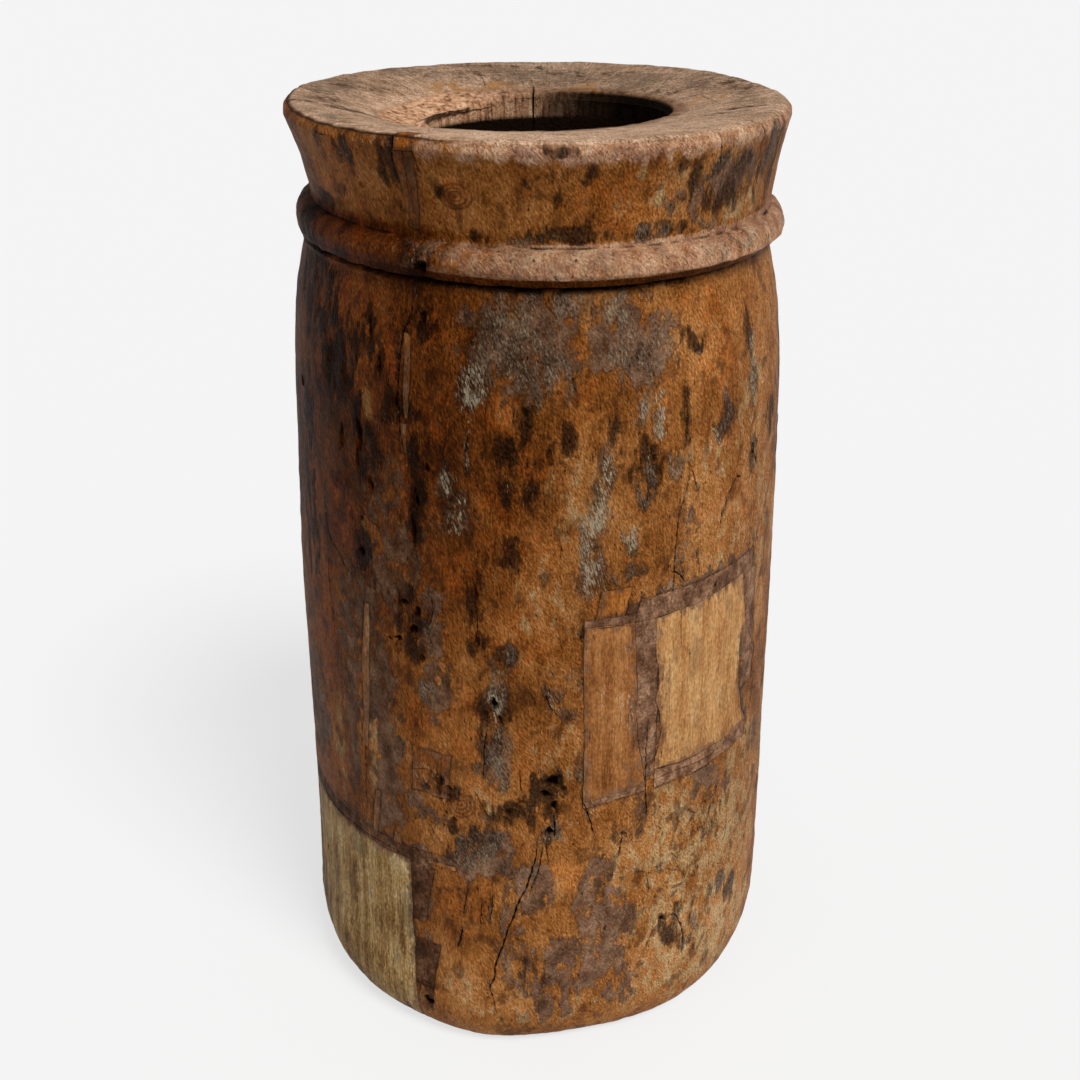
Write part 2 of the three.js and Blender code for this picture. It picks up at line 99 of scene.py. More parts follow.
# Radii of the outside
foot_face_radius = 124
foot_radius = 137.5
low_wall_radius = 136.4
middle_wall_radius = 133.5
upper_wall_radius = 129
low_shoulder_radius = 124.6
shoulder_radius = 120.8
corner_radius = 117.5
bead_edge_radius = 121.2
bead_radius = 122.6
groove_radius = 114.8
waist_radius = 117.9
lip_radius = 122.9
rim_top_radius = 117

# The oval mouth and the hollow
mouth_radius = 57.25
mouth_oval = 4.75
mouth_turn = 110
mouth_offset = (3, 7)
mouth_round = 4
mouth_depth = 74
mouth_edge_height = pot_height - rim_dish
hollow_top = mouth_edge_height - mouth_depth
hollow_radius = 97
hollow_shoulder = 46
hollow_floor_round = 48
bottom_thickness = 45

# What the hand tools left uneven: lean is a drop towards the right, sway a shift towards it
lean_heights = [upper_wall_height, corner_height, bead_middle, groove_height, lip_height]
leans = [0, 2, 8, 5.2, 0.6]
sway_heights = [upper_wall_height, corner_height, bead_middle, groove_height + lip_round, lip_height]
sways = [0, -0.6, 1.5, 1.5, 0]
scoop_azimuth = -98
scoop_spread = 34
scoop_depth = 5

# Hewn flats of the outside: azimuth, spread, depth, height and reach
hewn_flats = [
    (13, 13, 4.3, 0, 46), (38, 9, 0.6, 0, 30), (68, 14, 1.6, 0, 24), (-52, 22, -3, 0, 34),
    (-12, 9, -1.6, 0, 30), (128, 24, 3, 60, 110), (-150, 20, 2.5, 290, 130), (60, 16, 1, 330, 90),
    (-88, 20, -1.2, 265, 50), (-128, 24, -4.6, 500, 14), (134, 24, -4.2, 500, 14), (-172, 18, 2, 500, 14),
    (-110, 11, -2.8, 500, 14), (156, 16, -2.4, 500, 14),
]

# How finely the log's skin is divided: in degrees round the front and the back, and in mm along its outline
front_reach = 105
front_step = 0.45
back_step = 1.2
wall_step = 1.2
neck_step = 0.7
rim_step = 1.1
mouth_step = 2
hollow_step = 6

# The spacing of the points on a let-in piece's sides, the angle from which an edge is sharp, and how far
# the cutting blades stand out of the wall
block_step = 2.5
sharp_angle = 42
crack_stand_out = 1.4

# Let-in pieces: left side and right side from bottom to top, and the depth of the recess. In order of fitting
board_depth = 16
small_board_depth = 10
wedge_depth = 14
sliver_depth = 9
filling_depth = 7
clearance = 0.28
inlays = {
    "right_patch": (
        [(62, 183), (64, 195), (66, 205), (65, 215), (61.5, 225), (64.5, 235), (62, 250), (60.5, 272)],
        [(137, 181), (130.5, 190), (128, 200), (125.5, 210), (125.5, 242)]
        + [(132, 244), (130, 251), (126, 275)],
        board_depth,
    ),
    "middle_patch": (
        [(22.8, 172), (23.4, 210), (22.6, 240), (22.8, 273)],
        [(56.8, 176), (53, 200), (50.5, 222), (51.5, 236), (48.8, 273)],
        board_depth,
    ),
    "upper_shim": ([(28.3, 277.3), (32.3, 292.3)], [(43.3, 277.3), (47.3, 292.3)], small_board_depth),
    "foot_patch": ([(-178, -8), (-178, 118)], [(-70, -8), (-70.3, 40), (-71.6, 90), (-71, 121)], board_depth),
    "square_patch": ([(-68.5, 169), (-67, 196)], [(-46, 169), (-47, 182), (-45, 196)], small_board_depth),
    "neck_wedge_cap": ([(-70.6, 493.8), (-70.6, 505.5)], [(-60.2, 493.8), (-60.2, 505.5)], wedge_depth),
    "neck_wedge_left": ([(-69.2, 465.5), (-71.5, 493.5)], [(-67.6, 465.5), (-65.4, 493.5)], wedge_depth),
    "neck_wedge_right": ([(-68.4, 458.5), (-65.6, 493.5)], [(-62.5, 458.5), (-59.6, 493.5)], wedge_depth),
    "shoulder_sliver": (
        [(-66.6, 374.5), (-67.8, 379), (-68.4, 400), (-68.5, 413.5)],
        [(-65.6, 374.5), (-64.8, 379), (-64.6, 400), (-65.2, 413.5)],
        sliver_depth,
    ),
    "shoulder_sliver_lower": (
        [(-69.5, 357.5), (-69.3, 371.5)],
        [(-66.6, 357.5), (-66.2, 371.5)],
        sliver_depth,
    ),
    "left_sliver": (
        [(-103, 182), (-101.4, 204), (-101.6, 226), (-100, 248), (-97, 270)],
        [(-99.6, 182), (-97.2, 204), (-95.8, 226), (-95, 248), (-93.6, 270)],
        sliver_depth,
    ),
    "left_sliver_lower": (
        [(-97.6, 129), (-96.6, 143), (-94, 158)],
        [(-94.4, 129), (-92.3, 143), (-90.8, 158)],
        sliver_depth,
    ),
    "foot_chip": ([(-57, 123.2), (-57, 125.6)], [(-44, 122.6), (-44, 125.2)], filling_depth),
    "small_chip": ([(-82, 129), (-81, 135.5)], [(-76.5, 129), (-77.5, 135.5)], filling_depth),
    "right_patch_top_filling": (
        [(49.1, 273), (50.5, 279), (53, 285)],
        [(137.5, 273), (137.5, 285)],
        filling_depth,
    ),
    "right_patch_side_filling": (
        [(128, 204.7), (128, 272.7)],
        [(142, 204.7), (145, 222), (141, 240), (143.5, 272.7)],
        filling_depth,
    ),
    "middle_filling": ([(48.8, 180), (47.8, 272.7)], [(62.5, 180), (62.5, 272.7)], filling_depth),
    "right_patch_bottom_filling": ([(62.5, 172), (62.5, 182)], [(135, 172), (135, 181)], filling_depth),
    "middle_patch_top_filling": ([(22.8, 273), (22.8, 277)], [(50.1, 273), (50.1, 277)], filling_depth),
    "middle_patch_bottom_filling": ([(22.8, 168), (22.8, 172)], [(56.8, 172), (56.8, 176)], filling_depth),
    "foot_patch_top_filling": ([(-178, 118), (-178, 127)], [(-58, 121), (-58, 130)], filling_depth),
    "foot_side_filling": ([(-71, 81), (-71, 120.7)], [(-63, 81), (-60.5, 100), (-56, 120.7)], filling_depth),
    "foot_side_filling_lower": ([(-71, 36), (-71, 68)], [(-58.8, 36), (-54, 68)], filling_depth),
}

# Pieces whose seams were packed, so that filling is smeared over the wood beside them
packed = ["right_patch", "foot_patch", "right_patch_top_filling", "foot_patch_top_filling", "middle_filling"]

# The pieces made of each kind of board: every other let-in piece is filling
board_pieces = {
    "pale_board": ["right_patch"],
    "red_board": ["middle_patch", "square_patch"],
    "grey_board": ["foot_patch"],
    "wedge_wood": ["upper_shim", "neck_wedge_cap", "neck_wedge_left", "foot_chip"],
    "sliver_wood": ["neck_wedge_right", "shoulder_sliver", "shoulder_sliver_lower"]
    + ["left_sliver", "left_sliver_lower", "small_chip"],
}
slots = {piece: slot for slot, pieces in board_pieces.items() for piece in pieces}

# Colours of each board from dark to pale grain, then of the log's own wood and of what lies on it
board_stops = {
    "pale_board": ((0.28, "#8a5a33"), (0.42, "#b57c47"), (0.56, "#cf9a62"), (0.75, "#e3b982")),
    "red_board": ((0.28, "#6e3f1a"), (0.42, "#985f32"), (0.56, "#b37644"), (0.75, "#c8905a")),
    "grey_board": ((0.3, "#553a1e"), (0.42, "#946f40"), (0.54, "#c49f68"), (0.68, "#e6cc9c")),
    "wedge_wood": ((0.3, "#7a4420"), (0.45, "#a8652f"), (0.58, "#c48040"), (0.75, "#d89c5c")),
    "sliver_wood": ((0.3, "#6b4226"), (0.45, "#966238"), (0.58, "#b57e4e"), (0.75, "#cc9b68")),
}
wall_stops = ((0.2, "#4c270e"), (0.36, "#77451b"), (0.5, "#9c5f2b"), (0.62, "#b3753d"), (0.78, "#cc9058"))
ruddy_stops = ((0.2, "#592c10"), (0.42, "#9c5721"), (0.58, "#bb7034"), (0.78, "#d29052"))
tan_stops = ((0.2, "#5f4122"), (0.4, "#946b3e"), (0.58, "#b88e5e"), (0.78, "#d4ad7c"))
# Pale rubbed wood of the bead's face and the chamfer, partly a painted highlight where the key light falls
rubbed_and_lit_stops = ((0.5, "#8f654c"), (0.62, "#c69272"), (0.76, "#edc5a2"))
top_stops = ((0.2, "#70543d"), (0.38, "#9a7a5f"), (0.55, "#b8957a"), (0.75, "#cdae92"))
mouth_stops = ((0.34, "#543626"), (0.48, "#a67a5a"), (0.66, "#cfa888"))
filling_stops = ((0.36, "#492f1f"), (0.48, "#6f4e39"), (0.6, "#906b51"), (0.72, "#ad876a"))
soot_stops = ((0.42, "#190c06"), (0.62, "#553724"))
crust_stops = ((0.42, "#33251c"), (0.54, "#6a5444"), (0.68, "#a08a74"))
dust_stops = ((0.4, "#80674c"), (0.6, "#bca283"))
iron_stops = ((0.4, "#2b2520"), (0.55, "#4d423a"), (0.68, "#6e4a30"))
ring_colour = "#5c2410"
stain_colour = "#452410"
bluish_colour = "#8b6c5f"
tick_colour = "#1d1008"
seam_colour = "#1c0f08"
# Painted shade: near black in the deepest cuts of the log and its pieces, dark in the hollow
log_recess_shade_colour = "#070403"
recess_shade_colour = "#0a0604"
hollow_shade_colour = "#1d130c"
pale_dust = "#dcc9a8"
top_warm_colour = "#b1804f"
top_grey_colour = "#7c6854"
top_soot_colour = "#4a3524"
top_tick_colour = "#3a281b"
board_soot_colour = "#24140b"
board_dust_colour = "#d8c4a4"
worn_filling_colour = "#4a2c1c"

# The nail, and the round hole that it sits in
nail_girth = -62
nail_height = 26
nail_hole_radius = 3.4
nail_hole_depth = 4
nail_head_radius = 2.4
nail_head_height = 1.2
nail_shank_radius = 1.5
nail_length = 16
hole_unround = 0.05
nail_unround = 0.04

# Floor, lights and the pale background of the photograph
background = 0.913
floor_reach = 14
floor_level = -0.0002
floor_bounce = 0.45
# The share of the floor's brightness that no shadow takes, and how brightly the lamps light it
floor_shine = 0.75
floor_light = 1.0
key_strength = 2.55
key_softness = 22
key_height = 57
key_turn = 38
room_strength = 0.33

# How strongly painted shade deepens a colour in hue as it darkens it, and the low warm gloss of handled wood
shade_depth = 0.55
shade_share = 0.66
shade_rest = 0.37
gloss = 0.06
gloss_tint = "#d9a878"

# How bright the wood's colour is painted round the log, low and high on the wall, and the heights between
# which
# the one passes into the other: painted shade on the left, the upper left most, painted light on the front
# and right
dim_girths = [-419, -200, -120, -60, -10, 40, 90, 180, 419]
low_dims = [0.75, 0.7, 0.76, 0.98, 1.05, 1.12, 1.1, 1, 0.75]
high_dims = [0.75, 0.45, 0.45, 0.5, 0.78, 1.08, 1.3, 1.1, 0.75]
upper_shade_heights = (180, 350)
# How much lighter or darker the painted light and shade makes the foot, the neck and the bead than that, and
# where the foot's share fades
foot_painted_light = ([-419, -60, -40, 60, 120, 419], [1, 1, 1.2, 1.22, 1.15, 1])
foot_painted_light_fade = (-190, -120)
neck_painted_light = ([-419, -200, -110, -50, -10, 20, 90, 419], [1, 1.5, 1.95, 1.7, 1.2, 1.05, 0.88, 1])
bead_painted_light = ([-419, -200, -90, -50, 0, 90, 200, 419], [1, 0.8, 0.6, 0.95, 1.2, 0.98, 0.9, 1])
# The painted light over the rim's top, lighter towards the front, and the painted light and shadow inside the
# mouth from its lit left to its shaded right
rim_painted_light = ([-117, -60, 60, 100], [1.75, 1.5, 1.35, 1.15])
mouth_painted_light_and_shadow = ([-60, -40, -5, 8, 25, 45], [2, 1.8, 1.1, 0.3, 0.05, 0.015])
# A painted pool of light on the rim's top: across, back, how wide and how much lighter
funnel_painted_light = (-55, 15, 22, 0.45)
# The let-in pieces that are lighter or darker than the others of their kind, and the fillings on the left
piece_lights = {
    "square_patch": 0.68,
    "middle_patch": 0.95,
    "right_patch_bottom_filling": 1.35,
    "middle_patch_top_filling": 1.2,
    "middle_patch_bottom_filling": 1.2,
    "foot_side_filling": 0.75,
    "foot_side_filling_lower": 0.42,
    "neck_wedge_cap": 0.7,
    "neck_wedge_left": 0.6,
    "neck_wedge_right": 0.46,
    "upper_shim": 0.72,
    "left_sliver": 1.3,
}
left_filling_light = ([-60, -40], [0.7, 1])

# Cracks that have opened in the wall: width, depth and the places that each runs through
wall_cracks = [
    (1.0, 4, [(-130, 318), (-129, 305), (-124, 294), (-113, 288), (-106, 281)]),
    (0.8, 3, [(-129, 300), (-128, 270), (-125, 245), (-124, 232)]),
    (0.9, 4, [(-101, 200), (-101.5, 170), (-102, 140)]), (0.7, 3, [(-73, 197), (-74, 186)]),
    (0.8, 3, [(-68, 182), (-60, 184), (-52, 183)]), (0.7, 3, [(-76, 400), (-76.5, 385)]),
    (0.7, 3, [(-71, 412), (-71.5, 392)]),
    (1.2, 4, [(-64, 434), (-64.5, 422), (-68, 414), (-70, 405), (-70.5, 385), (-70, 368), (-66, 352)]),
    (0.8, 3, [(-30, 401), (-27, 393), (-29, 386)]), (0.9, 3, [(-34, 373), (-35, 362), (-34, 352)]),
    (0.8, 3, [(-47, 353), (-42, 340)]), (0.6, 3, [(-43, 372), (-46, 362), (-45, 350)]),
    (0.8, 3, [(16, 398), (19, 391)]), (0.7, 3, [(-11, 386), (-12, 377)]),
    (1.0, 4, [(78, 353), (79, 345), (75, 333), (72, 320), (71, 297), (70, 276)]),
    (0.8, 3, [(79, 350), (82, 342), (84, 336)]), (0.8, 3, [(58, 348), (55, 340), (53, 333)]),
    (1.3, 5, [(130, 345), (133, 339), (138, 331)]),
    (1.3, 5, [(122, 331), (115, 334), (109, 326), (103, 319), (101, 306)]),
    (0.6, 3, [(95, 363), (99, 355)]), (0.7, 3, [(-64, 292), (-64, 280)]),
    (0.8, 3, [(-55, 290), (-53, 278), (-56, 265), (-53, 255)]), (0.8, 3, [(-30, 280), (-31, 262)]),
    (0.8, 3, [(28, 272), (45, 272.5)]), (0.9, 4, [(3, 238), (6, 232), (10, 225)]),
    (0.7, 3, [(-5, 240), (0, 231)]), (0.7, 3, [(5, 252), (9, 246)]),
    (1.0, 4, [(68, 297), (73, 294), (78, 288)]), (0.7, 3, [(112, 284), (118, 287)]),
    (0.7, 3, [(130, 288), (133, 283)]), (0.6, 3, [(85, 303), (87, 290)]),
    (0.5, 3, [(76.5, 275), (76.6, 262), (76.4, 250)]), (0.8, 3, [(137, 236), (145, 222)]),
    (0.9, 4, [(-33, 178), (-29, 168), (-24, 159)]), (0.7, 3, [(-41, 178), (-41, 170)]),
    (0.8, 3, [(-9, 193), (-8, 178)]), (0.8, 3, [(-26, 217), (-28, 200), (-28, 184)]),
    (1.1, 4, [(9, 166), (8, 150)]), (0.9, 4, [(22, 178), (26, 163), (30, 149)]),
    (0.9, 3, [(4, 148), (6, 133)]),
    (1.2, 5, [(0, 151), (-1, 135), (-9, 110), (-14, 95), (-19, 78), (-26, 45), (-20, 20)]),
    (0.8, 3, [(3, 146), (1, 130), (-5, 114)]), (1.0, 4, [(45, 147), (42, 132)]),
    (0.8, 3, [(57.6, 216), (57.2, 190), (57.8, 150)]),
    (1.0, 4, [(60, 176), (78, 177.5), (96, 176.5), (112, 178), (124, 177)]),
    (0.9, 3, [(137, 198), (136, 185)]), (0.8, 3, [(137, 198), (150, 194)]),
    (1.1, 4, [(70.5, 81), (66, 76), (60, 62)]), (1.1, 4, [(70.5, 81), (79, 79), (84, 68), (87, 52)]),
    (0.8, 3, [(-30, 108), (-31, 88)]), (0.8, 3, [(-37, 118), (-40, 95)]), (1.2, 4, [(-41, 86), (-44, 70)]),
    (0.6, 3, [(-24, 112), (-26, 92)]),
    (1.0, 4, [(-172, 121), (-150, 121.5), (-135, 121.6), (-110, 122.4), (-90, 122.6), (-75, 123)]),
    (0.7, 3, [(-62, 152), (-52, 140)]), (0.7, 3, [(-60, 147), (-55, 137)]),
    (0.5, 3, [(52, 122), (60, 116), (72, 114), (84, 108)]), (0.5, 3, [(60, 116), (61, 104), (56, 96)]),
    (0.5, 3, [(72, 114), (78, 122), (92, 124)]), (0.5, 3, [(84, 108), (86, 96)]),
    (0.5, 3, [(66, 103), (78, 99), (93, 100)]), (0.6, 3, [(-117, 466), (-112, 474)]),
    (0.9, 4, [(92.5, 500), (94.5, 491), (96, 482)]), (0.8, 3, [(126, 500), (130, 492), (131, 476)]),
    (0.5, 2, [(-7, 484), (-3, 479)]), (0.9, 3, [(-71.2, 499), (-71.4, 488)]),
    (0.8, 3, [(-59, 497), (-58.5, 484)]), (0.7, 3, [(-65.5, 457), (-62, 449), (-60, 446)]),
    (0.7, 3, [(-128, 495), (-122, 494), (-115, 495)]),
]

# Cracks in the rim's top face and down the mouth, as places from above
rim_cracks = [
    (0.8, 3, [(-88, 78), (-78, 70), (-70, 58), (-62, 47), (-56, 41)]),
    (0.8, 4, [(-52, 38), (-46, 33), (-42, 25), (-41, 14)]),
    (0.6, 3, [(-80, 27), (-75, 18), (-68, 10), (-66, 4)]), (0.8, 3, [(83, 31), (87, 14), (89, 2)]),
    (0.7, 3, [(54, 64), (57, 52), (60, 46)]), (0.7, 3, [(-33, 92), (-29, 76), (-27, 66)]),
    (1.4, 58, [(-2, 60), (-3, 74)]), (0.7, 2, [(77, -88), (82, -96)]), (0.6, 2, [(-96, -40), (-93, -52)]),
    (0.6, 2, [(-48, -82), (-46, -94)]),
]

# Holes and gouges: girth, height, half width, half height and depth
holes = [
    (-90, 411, 1.6, 7, 2.5), (-82.5, 397, 1.6, 5, 2), (-96, 360, 2.4, 9, 2.5), (-98, 346, 1.6, 6, 2),
    (-89, 337, 2.2, 3.4, 3), (-110, 355, 2, 8, 2), (-58, 421, 2.2, 3.4, 2), (-55, 352, 2, 3, 2.5),
    (-61, 335, 1.8, 7, 3), (-63, 320, 1.6, 7, 2.5), (-72, 380, 2, 3, 2), (-97, 299, 2.6, 3, 2.5),
    (-96, 317, 1.1, 1.6, 2), (-70, 279, 2.6, 2, 3), (-65, 265, 2.8, 3, 5), (-62, 276, 2, 3, 3),
    (-75, 257, 3, 2.4, 3), (-80, 256, 1.4, 1.6, 2), (-60, 250, 2, 2.4, 2.5), (-31, 292, 1.4, 5, 2),
    (-30, 265, 1.4, 3, 2), (-15, 363, 2, 4, 1.6), (-6, 382, 2, 5, 1.6), (12, 368, 2, 3.6, 1.4),
    (17, 396, 1.5, 3.4, 2), (50, 350, 1.6, 3.6, 1.6), (58, 356, 3, 2.4, 2), (60, 348, 2.4, 4, 2),
    (86, 357, 1.2, 2.2, 1.6), (76, 374, 1.1, 6, 1.4), (131, 341, 1.8, 4, 4), (100, 279, 1, 1.8, 3),
    (-22, 231, 2.6, 4, 3), (-27, 224, 2.4, 3, 2), (-19, 222, 1.6, 3, 2.4), (-52, 180, 2.6, 4, 2.4),
    (-47, 176, 2, 2, 2), (-44, 157, 1.6, 1.4, 2), (-49, 160, 1.4, 1.4, 1.6), (-96, 233, 1.3, 3, 1),
    (-15, 165, 4, 4, 2.4), (-8, 172, 2.6, 2.4, 2.4), (8, 185, 5, 5, 3.4), (4, 178, 3, 2.4, 3),
    (13, 180, 2.4, 3, 2.4), (8, 170, 2, 4, 3), (6, 154, 3, 4, 3), (70.5, 80, 2.4, 2.4, 3.5),
    (45, 147, 2, 2.6, 2.4), (78, 145, 1.1, 2.6, 1.6), (107, 148, 1.2, 4, 1.6), (105, 130, 1.2, 4, 1.6),
    (112, 138, 1.2, 3.6, 1.6), (-59.5, 443.8, 3.4, 3.4, 4), (-70.6, 496, 1.4, 5, 3), (-97, 475, 3, 1.6, 1),
    (-125, 475, 1.6, 1.6, 0.8), (-48.5, 475.5, 1.6, 2, 1),
]

# Knots that the blade left a little proud, with rings round them: girth, height, half width, half height
knots = [
    (-40, 475, 9, 6), (-33, 392, 6, 10), (-113, 332, 9, 5), (-23, 228, 7, 9), (-40, 167, 8, 8),
    (45, 146, 6, 6),
]

# Areas of the surface as oval spots: girth, height, half width, half height and strength
rough_spots = [
    (-115, 387, 13, 12, 0.9), (-31, 396, 8, 14, 0.9), (-45, 345, 7, 10, 0.8), (-22, 228, 10, 12, 1),
    (5, 178, 16, 14, 1), (-14, 164, 12, 10, 1), (58, 353, 12, 12, 1), (-56, 177, 13, 11, 1),
    (-52, 183, 9, 5, 1), (-68, 268, 12, 16, 0.9), (75, 105, 30, 22, 0.7), (95, 140, 22, 12, 0.6),
    (46, 225, 8, 12, 0.6), (-60, 150, 12, 12, 0.7), (30, 318, 10, 30, 0.5), (0, 410, 40, 26, 0.4),
    (60, 400, 40, 30, 0.3),
]
soot_spots = [
    (-115, 387, 14, 13, 1), (-103, 404, 8, 14, 0.7), (-90, 411, 3, 12, 1), (-125, 415, 10, 16, 0.7),
    (-96, 357, 5, 18, 0.8), (-82, 397, 4, 10, 0.8), (-72, 378, 9, 8, 0.8), (-85, 354, 6, 9, 0.7),
    (-147, 355, 8, 20, 0.8), (-62, 340, 5, 24, 0.9), (-58, 420, 6, 8, 0.9), (-15, 363, 5, 8, 0.8),
    (-15, 345, 4, 7, 0.8), (-6, 380, 6, 12, 0.8), (-4, 346, 5, 8, 0.7), (12, 368, 6, 9, 0.8),
    (38, 369, 5, 10, 0.7), (54, 353, 8, 14, 0.8), (84, 408, 8, 6, 0.6), (76, 376, 3, 14, 0.7),
    (105, 370, 10, 8, 0.7), (126, 404, 6, 10, 0.7), (132, 340, 5, 12, 0.8), (-14, 315, 5, 7, 0.7),
    (-30, 290, 4, 14, 0.8), (-15, 258, 6, 7, 0.8), (-30, 265, 4, 8, 0.7), (-68, 268, 12, 16, 0.8),
    (-97, 300, 6, 8, 0.8), (-22, 228, 8, 14, 0.7), (-25, 208, 7, 14, 0.7), (5, 178, 12, 12, 0.9),
    (-14, 165, 11, 9, 0.9), (6, 155, 6, 7, 0.8), (-50, 177, 8, 6, 0.9), (-60, 173, 6, 3, 0.8),
    (-44, 158, 6, 5, 0.6), (-30, 143, 16, 9, 0.75), (-50, 132, 10, 5, 0.6), (22, 276, 4, 8, 0.7),
    (70, 79, 5, 5, 0.9), (80, 68, 10, 14, 0.5), (100, 135, 14, 8, 0.5), (110, 80, 8, 8, 0.6),
    (127, 70, 6, 8, 0.6), (95, 56, 6, 6, 0.5), (-62, 26, 6, 9, 0.9), (8, 496, 9, 2.6, 1),
    (10, 476, 3, 6, 0.6), (24, 486, 4, 5, 0.5), (12, 485, 8, 3, 0.5), (26, 462, 6, 5, 0.7),
    (18, 459, 26, 3.4, 1), (62, 459, 22, 3.4, 0.8), (99, 480, 7, 9, 0.6), (116, 480, 8, 8, 0.6),
    (78, 482, 9, 9, 0.6), (104, 470, 22, 9, 0.7), (148, 480, 16, 18, 0.7), (-103, 490, 8, 6, 0.7),
    (-124, 490, 5, 6, 0.6), (-75, 488, 6, 10, 0.6), (-140, 462, 12, 4, 0.8), (-28, 458, 5, 4, 0.6),
    (-48, 476, 3, 3, 0.9), (-150, 430, 16, 26, 0.6), (-2, 60, 9, 18, 0.3), (-150, 300, 10, 40, 0.6),
]
grey_spots = [
    (-16, 416, 18, 18, 0.9), (0, 402, 14, 16, 0.8), (48, 412, 18, 11, 0.8), (20, 430, 34, 5, 0.9),
    (60, 398, 12, 10, 0.5), (-33, 393, 7, 10, 1), (-45, 346, 5, 10, 1), (-38, 330, 8, 12, 0.8),
    (-50, 322, 7, 8, 0.7), (131, 384, 5, 20, 1), (62, 375, 5, 9, 1), (52, 381, 4, 7, 0.9),
    (33, 352, 5, 14, 0.9), (29, 334, 6, 12, 0.9), (53, 345, 6, 10, 0.9), (70, 350, 6, 8, 0.8),
    (46, 320, 4, 9, 0.8), (24, 322, 5, 12, 0.9), (27, 300, 6, 12, 0.9), (40, 300, 12, 5, 0.8),
    (106, 372, 8, 10, 0.6), (132, 338, 5, 8, 0.9), (-20, 240, 5, 14, 0.9), (-20, 205, 5, 20, 1),
    (-24, 195, 9, 12, 0.8), (-15, 258, 5, 6, 0.8), (-57, 228, 8, 7, 0.8), (44, 224, 7, 12, 0.9),
    (20, 245, 5, 8, 0.6), (16, 226, 5, 8, 0.6), (8, 240, 8, 6, 0.7), (22, 190, 8, 8, 0.6),
    (6, 156, 8, 9, 0.9), (-33, 138, 15, 9, 0.8), (-30, 146, 14, 8, 0.7), (-14, 128, 10, 8, 0.5),
    (97, 135, 6, 6, 0.7), (110, 80, 8, 8, 0.7), (127, 70, 6, 8, 0.6), (95, 62, 7, 7, 0.6),
    (8, 495, 6, 2.4, 0.7), (120, 449, 14, 4, 0.6), (58, 458, 12, 4, 0.9), (95, 459, 10, 3, 0.9),
    (-60, 450, 12, 5, 0.6), (-8, 457, 22, 2, 0.7), (146, 485, 10, 12, 0.9), (100, 488, 12, 6, 0.5),
    (-103, 489, 6, 6, 0.8), (-124, 489, 4, 6, 0.7), (-155, 480, 10, 16, 0.5), (-112, 320, 4, 6, 0.3),
]
filled_spots = [
    (-8, 412, 28, 20, 1), (46, 412, 24, 16, 1), (60, 418, 14, 9, 0.7), (84, 408, 9, 6, 0.5),
    (-82, 330, 14, 34, 0.6), (-70, 305, 12, 26, 0.8), (-86, 285, 16, 20, 0.8), (-103, 262, 14, 26, 0.8),
    (-110, 225, 10, 30, 0.8), (-87, 220, 10, 34, 1), (-84, 180, 9, 26, 1), (-109, 185, 4, 30, 0.9),
    (-55, 270, 8, 24, 0.8), (-52, 235, 9, 22, 0.8), (-85, 148, 12, 12, 0.8), (-62, 160, 12, 8, 0.6),
    (-40, 130, 20, 8, 0.9), (-22, 138, 12, 12, 0.8), (-5, 118, 10, 20, 0.8), (-14, 88, 10, 20, 0.6),
    (32, 122, 8, 18, 0.8), (36, 92, 16, 22, 0.9), (22, 60, 22, 22, 0.9), (6, 44, 14, 22, 0.8),
    (-8, 66, 10, 16, 0.7), (46, 48, 10, 20, 0.6), (98, 162, 14, 10, 0.8), (112, 150, 8, 8, 0.6),
    (57, 160, 5, 18, 0.6), (57, 240, 6, 34, 1), (70, 283, 20, 8, 0.9), (100, 282, 30, 7, 0.9),
    (134, 235, 7, 30, 0.9), (134, 285, 8, 12, 0.6), (78, 308, 6, 18, 0.5), (36, 275, 15, 4, 0.8),
    (-66, 100, 6, 20, 1), (-64, 50, 8, 18, 0.8), (-110, 125, 40, 6, 0.9), (-64, 128, 9, 10, 0.7),
    (84, 462, 14, 6, 0.4), (99, 479, 11, 12, 1), (117, 479, 12, 12, 1), (80, 470, 14, 8, 0.7),
]
warm_spots = [
    (-133, 205, 14, 70, 0.8), (-150, 320, 14, 60, 0.6), (-118, 300, 7, 30, 0.6), (20, 412, 7, 6, 1),
    (42, 422, 7, 3, 0.9), (32, 398, 10, 14, 0.6), (20, 385, 10, 12, 0.5), (-2, 360, 8, 8, 0.6),
    (-20, 385, 10, 16, 0.6), (95, 405, 20, 24, 0.6), (80, 395, 16, 14, 0.5), (-20, 330, 12, 20, 0.5),
    (0, 310, 14, 20, 0.6), (-5, 275, 20, 24, 0.7), (-40, 300, 10, 12, 0.6), (-62, 300, 3, 8, 0.9),
    (-97, 385, 4, 12, 0.5), (-76, 398, 6, 12, 0.7), (-100, 425, 16, 8, 0.6), (-55, 412, 10, 12, 0.5),
    (-48, 380, 8, 14, 0.5), (-112, 308, 12, 18, 0.9), (-68, 345, 3, 18, 0.8), (-92, 376, 5, 8, 0.9),
    (-35, 205, 14, 14, 0.7), (-42, 225, 14, 14, 0.7), (-60, 208, 14, 10, 0.8), (-10, 200, 14, 14, 0.6),
    (14, 205, 14, 16, 0.6), (-30, 178, 10, 12, 0.7), (15, 128, 10, 8, 1), (-80, 131, 4, 5, 1),
    (30, 240, 10, 30, 0.4), (90, 330, 12, 20, 0.5), (118, 320, 16, 20, 0.6), (36, 286, 12, 8, 0.6),
    (-40, 110, 14, 14, 0.6), (-46, 90, 12, 12, 0.5), (45, 474, 26, 14, 0.9), (80, 466, 12, 6, 0.8),
    (20, 470, 10, 12, 0.5), (-38, 477, 8, 6, 0.8), (26, 449, 14, 5, 0.6), (-15, 448, 18, 5, 0.5),
    (-100, 455, 40, 5, 0.5), (-115, 480, 30, 16, 0.4),
]
